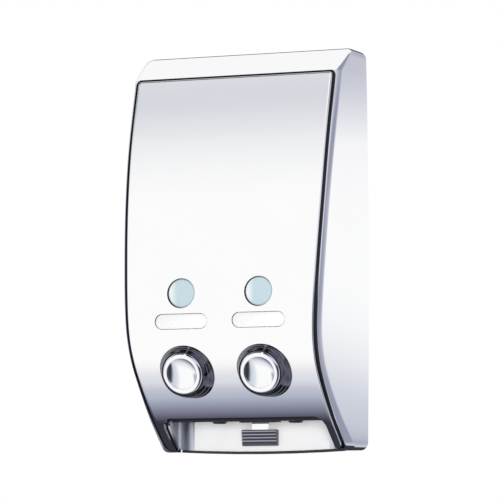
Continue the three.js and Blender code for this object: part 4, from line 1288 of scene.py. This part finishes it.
@dataclass
class ButtonSet:
    """A push button and the flared collar that it runs in."""

    form: CaseForm
    hand: str
    radius: float = 14.0
    skirt_wall: float = 1.6
    skirt: float = 12.0
    lip: float = 2.6
    lip_turn: float = 0.62
    lip_points: int = 18
    dish_radius: float = 10.8
    dish_depth: float = 3.65
    dish_edge: float = 0.45
    dish_share: float = 0.92
    dish_points: int = 20
    dish_thick: float = 2.0
    chamfer: float = 0.4
    skirt_chamfer: float = 0.3
    stem_radius: float = 4.0
    stem_reach: float = 26.0
    clip_seat: float = 22.3
    clip_thick: float = 0.9
    clip_neck: float = 2.9
    rim_set: float = 1.3
    rim: float = 0.25
    rim_form: Sequence[Pair] = ((0.0, 0.3), (0.1, 0.08), (0.2, 0.0), (rim, 0.05))
    sleeve: float = 1.6
    reach: float = 22.0
    web: float = 1.5
    foot_half: float = 18.4
    foot_rise: float = 16.4
    foot_height: float = 51.4
    crest: float = 1.1
    foot_edge: float = 0.3
    bend: Pair = (0.62, 0.42)
    cone_points: int = 13
    step_at: tuple[float, ...] = (0.38, 0.76)
    step_run: float = 0.001
    step_width: float = 0.28
    slices: int = 144

    def build(self) -> None:
        """Builds and dresses the button and its collar."""
        line = PumpLine(HANDS[self.hand])
        self.build_button(line)
        self.build_collar(line)

    def build_button(self, line: PumpLine) -> None:
        """The dished button with its rolled lip, skirt and stem.

        Args:
            line: the button's line.
        """
        crest, inner = self.radius - self.lip, self.radius - self.skirt_wall
        lip = [(crest + self.lip * math.cos(a), self.lip * (math.sin(a) - 1))
               for a in np.linspace(QUARTER + self.lip_turn, 0, self.lip_points)]
        rise = self.dish_depth - self.dish_edge
        dish = [(self.dish_radius * t, -self.dish_depth + rise * t ** 2)
                for t in np.linspace(0, self.dish_share, self.dish_points)]
        under = -self.dish_depth - self.dish_thick
        stem, notch = self.stem_radius, -self.clip_seat - self.clip_thick - GAP
        button = turned(f"push_button_{self.hand}", [
            *dish, *lip, (self.radius, -self.skirt + self.chamfer),
            (self.radius - self.skirt_chamfer, -self.skirt), (inner, -self.skirt),
            (inner, under), (stem, under), (stem, -self.clip_seat),
            (self.clip_neck, -self.clip_seat), (self.clip_neck, notch), (stem, notch),
            (stem, -self.stem_reach + self.chamfer), (stem - self.chamfer, -self.stem_reach),
            (0, -self.stem_reach)], line.at, self.slices)
        dress(button, CASE)
        sharpen(button)
        name = f"button_{self.hand}"
        seat(button, Body(name), name)

    def build_collar(self, line: PumpLine) -> None:
        """The collar, bridged from its round rim to its foot on the curved panel.

        Args:
            line: the button's line.
        """
        bore, stem = self.radius + GAP, self.stem_radius + GAP
        sleeve, rim, web = bore + self.sleeve, bore + self.rim, -self.reach + self.web
        shares = sorted({*np.linspace(0, 1, self.cone_points), *self.step_at,
                         *(s + self.step_run for s in self.step_at)})

        def on_panel(turn: float, share: float) -> Vector:
            """A point of the panel, so far out to the foot, as out, right and up."""
            z = self.foot_height + self.foot_rise * share * math.cos(turn)
            return Vector(line.out_of(Vector((
                line.x + self.foot_half * share * math.sin(turn), self.form.front(z) + GAP, z))))

        def around(r: float, out: float, angle: float) -> Vector:
            """A point round the line, as x, depth and height."""
            return line.at(out, r * math.sin(angle), r * math.cos(angle))

        slices = []
        for i in range(self.slices):
            turn = 2 * math.pi * i / self.slices
            foot = on_panel(turn, 1.0)
            foot_radius, aim = math.hypot(foot.y, foot.z), math.atan2(foot.y, foot.z)
            neck = on_panel(turn, sleeve / foot_radius)
            start = Vector((rim + self.crest, -self.rim_set - self.crest))
            end = Vector((foot_radius - self.foot_edge, foot.x + self.foot_edge))
            run = end - start
            bend = start + Vector((run.x * self.bend[0], run.y * self.bend[1]))
            cone = []
            for t in shares:
                point = start * (1 - t) ** 2 + bend * 2 * t * (1 - t) + end * t * t
                held = sum(self.step_width * (t <= s) for s in self.step_at)
                cone.append(around(point.x - held, point.y,
                                   turn + (aim - turn_near(turn, aim)) * t))
            slices.append([
                *(around(bore + wider, -self.rim_set - drop, turn)
                  for wider, drop in self.rim_form),
                *cone, around(foot_radius, foot.x, aim), around(sleeve, neck.x, aim),
                around(sleeve, -self.reach, turn), around(stem, -self.reach, turn),
                around(stem, web, turn), around(bore, web, turn)])
        collar = bridged(f"flared_collar_{self.hand}", slices, closes=True)
        # The flare is dark plating and the crest round the rim bright plating: painted shade and a
        # painted highlight on one collar.
        dress(collar, SHADE_AND_DARK_PLATING)
        zone(collar, CASE, lambda x, depth, z:
             line.out_of(Vector((x, depth, z)))[0] > -self.rim_set + HAIR)
        sharpen(collar)
        seat(collar, Body.COVER, f"button_collar_{self.hand}")


def turn_near(turn: float, aim: float) -> float:
    """The turn's angle, moved by whole turns to lie near the aim."""
    return turn + 2 * math.pi * round((aim - turn) / (2 * math.pi))


@dataclass
class Alcove:
    """The bright liner of the alcove, and the spouts over it."""

    form: CaseForm
    back: float = 2.7
    thick: float = 1.6
    half: float = 57.9
    corner: float = 8.7
    corner_points: int = 14
    low: float = 1.7
    deck: float = 24.3
    deck_thick: float = 1.8
    deck_bite: float = 0.9
    guide_half: float = 13.5
    guide_low: float = 20.5
    guide_depth: float = 9.5
    guide_bite: float = 0.8
    slot_half: float = 6.6
    slot_heights: Pair = (10.0, 34.0)
    slot_depth: Pair = (4.3, 7.1)
    port_radius: float = 5.4
    port_depth: float = 11.2
    port_heights: Pair = (18.0, 32.0)
    lip_low: float = 20.5
    lip_thick: float = 1.0
    spout_form: Sequence[Pair] = (
        (3.3, 20.3), (3.45, 19.95), (3.85, 19.8), (4.2, 19.95), (4.42, 20.3), (5.1, 23.3),
        (5.1, 43.7), (4.8, 44.0), (4.5, 44.0), (4.5, 31.4), (3.3, 31.4))

    def tray(self, name: str, half: float, near: float, r: float, low: float,
             high: float) -> Piece:
        """A block with rounded rear corners, for the liner's outside and inside.

        Args:
            name: the block's name.
            half: half its width.
            near: depth of its rear face.
            r: radius of its rear corners.
            low: height of its lower face.
            high: height of its upper face.

        Returns:
            The block.
        """
        plan = [(half, self.form.belly)]
        plan += [(half - r + r * math.cos(a), near + r - r * math.sin(a))
                 for a in np.linspace(0, QUARTER, self.corner_points)]
        return upwards(name, mirrored(plan), low, high)

    def build(self) -> None:
        """Builds and dresses the liner and the spouts."""
        face, joint_high = self.back + self.thick, self.deck + self.deck_bite
        liner = self.tray("bright_liner", self.half, self.back, self.corner + self.thick, self.low,
                          self.deck + self.deck_thick)
        carve(liner, self.tray("tray", self.half - self.thick, face, self.corner, -PAST, self.deck))
        join(liner, behind_case("front_limit", self.form, self.half + PAST,
                                levels(0, high=30, step=1.0), 2 * GAP), Joining.KEEP_COMMON)
        carve(liner, crown_cutter())
        join(liner, block("guide", self.guide_half, self.guide_low, joint_high,
                          self.back + self.guide_bite, self.guide_depth), Joining.ADD)
        carve(liner, block("guide_slot", self.slot_half, *self.slot_heights, *self.slot_depth))
        lip_front = self.form.cavity(self.lip_low) - 2 * GAP
        join(liner, block("lip", self.half - self.thick / 2, self.lip_low, joint_high,
                          lip_front - self.lip_thick, lip_front), Joining.ADD)
        for side in HANDS.values():
            carve(liner, drum("spout_hole", self.port_radius, *self.port_heights,
                              upright(PumpLine(side).x, self.port_depth), segments=48))
        dress(liner, LINER)
        zone(liner, BLACK, lambda x, depth, z: abs(x) <= self.guide_half + TOUCH
             and z < self.deck - TOUCH and depth > face + TOUCH)
        zone(liner, ENAMEL, lambda x, depth, z: abs(depth - face) < 2 * HAIR
             and z < self.deck)
        soften(liner, width=0.25)
        seat(liner, Body.BASE, "alcove_liner")
        for hand, side in HANDS.items():
            self.build_spout(hand, PumpLine(side).x)

    def build_spout(self, hand: str, x: float) -> None:
        """A spout with a rounded tip, pushed over the pump's outlet pipe.

        Args:
            hand: left or right.
            x: the pipe's middle.
        """
        line = upright(x, self.port_depth)
        spout = turned(f"nozzle_{hand}", self.spout_form, line, segments=64)
        dress(spout, BLACK)
        sharpen(spout)
        seat(spout, Body.BASE, f"spout_{hand}")


def crown_cutter(half: float = 61.2, low: float = 3.4, crown: float = 1.7,
                 far: float = 80.0, points: int = 25) -> Piece:
    """Everything below the liner's crowned lower edge."""
    edge = [(half * (2 * t - 1), low - 4 * crown * t * (1 - t)) for t in np.linspace(0, 1, points)]
    return from_wall("below_crown", [*edge, (half, -PAST), (-half, -PAST)], -PAST, far)


@dataclass
class Latch:
    """The ribbed thumb latch at the back of the alcove."""

    near: float = 4.6
    far: float = 6.8
    half: float = 12.2
    low: float = 5.3
    height: float = 10.4
    low_depth: float = 8.0
    top_depth: float = 9.4
    ribs: int = 5
    rib_depth: float = 0.8
    rib_form: Sequence[Pair] = ((0.0, 1.0), (0.12, 0.6), (0.22, 0.1), (0.34, 0.0), (0.66, 0.0),
                                (0.78, 0.1), (0.88, 0.6))
    stem_half: float = 6.0
    hook_far: float = 12.5
    ridge_skin: float = 0.03

    def build(self) -> None:
        """Builds and dresses the latch."""
        top = self.low + self.height
        profile = [(self.near, self.low)]
        for i in range(self.ribs):
            for share, sunk in self.rib_form:
                h = self.height / self.ribs * (i + share)
                profile.append((self.face(h / self.height) - self.rib_depth * sunk, self.low + h))
        profile += [(self.top_depth - self.rib_depth, top), (self.near, top)]
        thumb = across("ribbed_latch", profile, -self.half, self.half)
        for name, half, low, high, near, far in (
                ("stem", self.stem_half, top - GAP, 40.0, self.near, self.far),
                ("shoulder", 8.5, 26.4, 37.8, self.near, self.far),
                ("hook", self.stem_half, 33.3, 36.0, self.far - GAP, self.hook_far),
                ("tooth", self.stem_half, 30.3, 33.6, 10.8, self.hook_far)):
            join(thumb, block(name, half, low, high, near, far), Joining.ADD)
        dress(thumb, DARK)
        zone(thumb, CASE, lambda x, depth, z: z > top + TOUCH)
        # Painted highlight: the crests of the upper ridges take a paler plating.
        zone(thumb, RIDGE_HIGHLIGHT, self.on_ridge)
        soften(thumb, width=0.15, segments=2)
        seat(thumb, Body.LATCH, "latch_slider")

    def face(self, share: float) -> float:
        """Depth of the ribs' crests, a share of the way up the thumb piece."""
        return self.low_depth + (self.top_depth - self.low_depth) * share

    def on_ridge(self, x: float, depth: float, z: float) -> bool:
        """Whether a face's middle is on the crest of one of the upper ridges."""
        share = (z - self.low) / self.height
        return 1 / self.ribs < share < 1 and depth > self.face(share) - self.ridge_skin


@dataclass
class Coil:
    """A wound steel spring, which the dispenser presses shorter as its joint moves; here it is
    wound at its full length.
    """

    name: str
    stands_for: str
    joint: str
    body: Body
    line: Line
    fixed_end: float
    free_end: float
    radius: float
    wire: float
    turns: float
    travel: float
    closed: float = 0.75
    closed_pitch: float = 2.1
    steps: int = 32
    sides: int = 10

    def build(self) -> None:
        """Winds, dresses and seats the spring."""
        way = 1 if self.free_end > self.fixed_end else -1
        length = abs(self.free_end - self.fixed_end)
        rise, end_rise = length - 2 * self.wire, self.closed * self.closed_pitch * self.wire
        rings = []
        for turn in np.linspace(0, self.turns, round(self.turns * self.steps) + 1):
            along = self.wire + np.interp(
                turn, [0, self.closed, self.turns - self.closed, self.turns],
                [0, end_rise, rise - end_rise, rise])
            ring = []
            for a in np.linspace(0, 2 * math.pi, self.sides, endpoint=False):
                r, angle = self.radius + self.wire * math.cos(a), 2 * math.pi * turn
                ring.append(self.line(self.fixed_end + way * (along + self.wire * math.sin(a)),
                                      r * math.sin(angle), r * math.cos(angle)))
            rings.append(ring)
        coil = bridged(self.name, rings)
        dress(coil, STEEL)
        seat(coil, self.body, self.stands_for)
        held, free = (place(*self.line(end, 0, 0)) for end in (self.fixed_end, self.free_end))
        (length - self.travel) / length
        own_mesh(coil)


@dataclass
class Springs:
    """The springs of the latch, the buttons and the pumps."""

    button_ends: Pair = (-20.2, -ButtonSet.dish_depth - ButtonSet.dish_thick - GAP)
    plunger_ends: Pair = (-39.7, -28.6)
    button_travel: float = 8.0
    latch_depth: float = 5.7
    latch_ends: Pair = (50.3, 40.3)
    latch_travel: float = 4.0

    def build(self) -> None:
        """Builds and dresses them."""
        Coil("latch_coil", "latch_spring", "latch_slide", Body.BASE, upright(0, self.latch_depth),
             *self.latch_ends, radius=2.2, wire=0.35, turns=5, travel=self.latch_travel).build()
        for hand, side in HANDS.items():
            line = PumpLine(side).at
            Coil(f"button_coil_{hand}", f"button_spring_{hand}", f"button_{hand}_press",
                 Body.COVER, line, *self.button_ends, radius=7, wire=0.5, turns=4,
                 travel=self.button_travel).build()
            Coil(f"plunger_coil_{hand}", f"piston_spring_{hand}", f"piston_{hand}_stroke",
                 Body.BASE, line, *self.plunger_ends, radius=4.6, wire=0.4, turns=3,
                 travel=self.button_travel).build()


@dataclass
class Workings:
    """The solids behind the case that keep their shape and get their finish here."""

    frame: Mapping[str, Any]
    finishes: Mapping[str, tuple[Finish, Slot]] = field(default_factory=lambda: {
        "wall_plate": (BLACK, Slot.DARK), "bottle_shelf": (WHITE, Slot.WHITE),
        "catch_tongue": (STEEL, Slot.CASE),
        "wall_screw": (STEEL, Slot.STEEL), "hinge_pin": (STEEL, Slot.STEEL),
        "bottle_lid": (BOTTLE, Slot.BOTTLE), "bottle": (BOTTLE, Slot.BOTTLE),
        "pump_body": (WHITE, Slot.WHITE), "inlet_ball": (STEEL, Slot.STEEL),
        "outlet_valve": (WHITE, Slot.WHITE),
        "piston_seal": (RUBBER, Slot.RUBBER), "piston": (WHITE, Slot.WHITE),
        "button_clip": (STEEL, Slot.STEEL)})

    def dress(self) -> None:
        """Dresses every solid that is still shown."""
        for name, node in self.frame["nodes"].items():
            if node.hide_render:
                continue
            kind = next((k for k in self.finishes if name.startswith(k)), None)
            if kind is None:
                raise ValueError(f"{name} has no finish")
            finish, slot = self.finishes[kind]
            material = finish.material()
            if not node.material_slots:
                node.data.materials.append(material)
            for held in node.material_slots:
                held.material = material
            LOG.info("%s dressed as %s", name, finish.name)


# The studio


# What bright metal sees, by angle in degrees: forwards is 0, up or right is 90, backwards 180
PITCH_TENT: Sequence[tuple[float, Color]] = (
    (-180, (0.98, 0.98, 0.985)), (-176, (0.8, 0.8, 0.84)), (-170, (0.25, 0.26, 0.3)),
    (-164, (0.045, 0.046, 0.055)), (-92, (0.035, 0.036, 0.05)), (-88, (0.13, 0.135, 0.19)),
    (-86, (0.202, 0.205, 0.276)), (-84, (0.285, 0.297, 0.379)), (-80, (0.438, 0.473, 0.572)),
    (-76, (0.546, 0.559, 0.639)), (-72, (0.696, 0.719, 0.772)), (-66, (0.804, 0.796, 0.836)),
    (-55, (0.94, 0.94, 0.955)), (-45, (0.99, 0.99, 0.99)), (23, (0.985, 0.985, 0.987)),
    (26, (0.946, 0.948, 0.955)), (32, (0.86, 0.865, 0.88)), (37.6, (0.755, 0.765, 0.8)),
    (40.3, (0.65, 0.67, 0.725)), (43, (0.6, 0.62, 0.68)), (45.5, (0.055, 0.056, 0.07)),
    (100, (0.04, 0.042, 0.055)), (111, (0.96, 0.96, 0.965)), (131, (0.97, 0.97, 0.975)),
    (138, (0.4, 0.41, 0.5)), (170.6, (0.46, 0.47, 0.57)), (171.8, (0.62, 0.63, 0.7)),
    (172.9, (0.93, 0.93, 0.95)), (174.8, (0.99, 0.99, 0.99)), (180, (0.985, 0.985, 0.99)))
AZIMUTH_TENT: Sequence[tuple[float, Color]] = (
    (-180, (0.05, 0.05, 0.065)), (62, (0.04, 0.04, 0.055)), (70, (0.2, 0.205, 0.25)),
    (82, (0.5, 0.515, 0.58)), (90, (0.6, 0.615, 0.68)), (95, (0.5, 0.52, 0.6)),
    (101, (0.5, 0.52, 0.6)), (109, (0.29, 0.305, 0.4)), (117, (0.33, 0.345, 0.44)),
    (124, (0.48, 0.5, 0.59)), (138, (0.6, 0.62, 0.69)), (180, (0.72, 0.73, 0.79)))


@dataclass(frozen=True)
class Card:
    """A card in the tent, soft at its sides, in degrees, and at the sines of its foot and top."""

    color: Color
    sides: tuple[float, float, float, float]
    foot: Pair | None = None
    top: Pair | None = None

    def mask(self, side: Wire, sine: Wire) -> Wire:
        """Where the card is: 1 on it and 0 beside it.

        Args:
            side: the angle to the side, in radians.
            sine: the sine of the height.

        Returns:
            The card's share, from 0 to 1.
        """
        height = sine.step(*self.foot) if self.foot else 1
        if self.top:
            height = height - sine.step(*self.top)
        return side.band(*self.sides) * height


TENT_WHITE, TENT_BLACK = (0.99, 0.99, 0.99), (0.05, 0.05, 0.065)
LAVENDER, HAZE = (0.42, 0.46, 0.56), (0.66, 0.7, 0.78)
BEYOND, BEYOND_DARK, BEYOND_PALE = (60, 100), (0.04, 0.04, 0.055), (0.29, 0.3, 0.39)
# Sines of the heights between which the tent changes
LOW, HALFWAY, OVERHEAD = (0.05, 0.2), (0.4, 0.6), (0.52, 0.62)
# Where the tent's right wall stands, low down, halfway and overhead
WALL_LOW, WALL_HALFWAY, WALL_HIGH = (14, 27, 137, 151), (66, 84, 137, 151), (-5, 3, 135, 149)
CARDS = (
    Card(TENT_WHITE, (-19, -14, -7, -3), foot=OVERHEAD),
    Card(LAVENDER, (-178, -172, -72, -63), foot=(-0.35, -0.15), top=(0.5, 0.6)),
    Card(TENT_BLACK, (-182, -179, -146, -134), foot=(-0.35, -0.15), top=(0.6, 0.7)),
    Card(TENT_WHITE, (-102, -97, -86, -80), foot=(0.22, 0.34)),
    Card(HAZE, (-14, 12, 137, 151), top=OVERHEAD))
HIGH_CARD = Card(LAVENDER, (38, 46, 96, 104), foot=(0.5, 0.6))


@dataclass
class Studio:
    """Floor, light, world and camera."""

    floor_height: float = -1750.0
    floor_half: float = 2500.0
    floor_thick: float = 20.0
    plain: Color = (0.35, 0.35, 0.353)
    lamp_size: float = 0.9
    lamp_power: float = 37.5
    lamp_place: tuple[float, float, float] = (0.85, -2.15, -0.1)
    sensor: float = 36.0
    lens: float = 249.1
    clip: Pair = (0.05, 50.0)
    distance: float = 2221.34
    azimuth: float = math.radians(22.628)
    elevation: float = math.radians(-4.705)
    roll: float = math.radians(-0.091)
    target: tuple[float, float, float] = (8.98, 45.0, 129.88)

    def build(self) -> None:
        """Builds the studio."""
        self.build_floor()
        self.build_world()
        self.build_light()
        self.build_camera()
        bpy.context.scene.view_settings.view_transform = "Standard"

    def build_floor(self) -> None:
        """A plain pale floor well below the dispenser."""
        half, top = self.floor_half, self.floor_height
        floor = block("studio_floor", half, top - self.floor_thick, top, -half, half)
        dress(floor, FLOOR)
        floor.visible_glossy = False

    def build_world(self) -> None:
        """White to the camera, plain to matt surfaces, and a studio's tent to bright ones."""
        world = bpy.data.worlds.new("studio_tent")
        bpy.context.scene.world = world
        world.use_nodes = True
        tree = Tree(world.node_tree)
        x, y, z = tree.split(tree.node("ShaderNodeTexCoord", output="Generated"))
        ahead = 0 - y
        side = x.math("ARCTAN2", x, ahead)
        tent = tree.ramp(z.math("ARCTAN2", z, ahead), PITCH_TENT)
        for card in CARDS:
            tent = tree.blend(card.mask(side, z), tent, card.color)
        beyond = side.step(*(math.radians(angle) for angle in BEYOND))
        beside = tree.blend(z.step(*HALFWAY), tree.ramp(side, AZIMUTH_TENT),
                            tree.blend(beyond, BEYOND_DARK, BEYOND_PALE))
        beside = tree.blend(HIGH_CARD.mask(side, z), beside, HIGH_CARD.color)
        wall = tree.blend(z.step(*LOW), side.band(*WALL_LOW), side.band(*WALL_HALFWAY))
        wall = tree.blend(z.step(*OVERHEAD), wall, side.band(*WALL_HIGH))
        tent = tree.blend(wall, tent, beside)
        camera_ray = tree.node("ShaderNodeLightPath", output="Is Camera Ray")
        plain = tree.blend(camera_ray.sibling("Is Glossy Ray"), self.plain, tent)
        seen = tree.blend(camera_ray, plain, (1.0, 1.0, 1.0))
        background = tree.node("ShaderNodeBackground", None, {"Color": seen, "Strength": 1.0})
        tree.finish("ShaderNodeOutputWorld", background)

    def build_light(self) -> None:
        """One broad soft lamp behind the camera."""
        data = bpy.data.lights.new("soft_lamp", "AREA")
        data.shape = "RECTANGLE"
        data.size, data.size_y, data.energy = self.lamp_size, self.lamp_size, self.lamp_power
        lamp = bpy.data.objects.new("soft_lamp", data)
        lamp.location = self.lamp_place
        lamp.rotation_euler = (-Vector(lamp.location)).to_track_quat("-Z", "Y").to_euler()
        lamp.visible_glossy = False
        bpy.context.scene.collection.objects.link(lamp)

    def build_camera(self) -> None:
        """The camera, a little below the dispenser's middle and to its right."""
        data = bpy.data.cameras.new("camera")
        data.sensor_width, data.lens = self.sensor, self.lens
        data.clip_start, data.clip_end = self.clip
        camera = bpy.data.objects.new("camera", data)
        a, e = self.azimuth, self.elevation
        ahead = Vector((-math.sin(a) * math.cos(e), math.cos(a) * math.cos(e), -math.sin(e)))
        right = Vector((math.cos(a), math.sin(a), 0))
        up = right.cross(ahead)
        tilted = right * math.cos(self.roll) + up * math.sin(self.roll)
        above = up * math.cos(self.roll) - right * math.sin(self.roll)
        turn = Matrix((tilted, above, -ahead)).transposed().to_4x4()
        turn.translation = place(*self.target) - ahead * self.distance / 1000
        camera.matrix_world = turn
        bpy.context.scene.collection.objects.link(camera)
        bpy.context.scene.camera = camera


def main() -> None:
    """Builds the dispenser's looks round its frame, in order, and notes the sizes."""
    logging.basicConfig(level=logging.INFO, format="%(message)s")
    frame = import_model()
    form = CaseForm()
    case = CaseShell(form)
    case.build()
    FrontPanel(case).build()
    for hand in HANDS:
        WindowAndLabel(form, hand).build()
        ButtonSet(form, hand).build()
    Alcove(form).build()
    Latch().build()
    Springs().build()
    Workings(frame).dress()
    Studio().build()


if __name__ == "__main__":
    main()
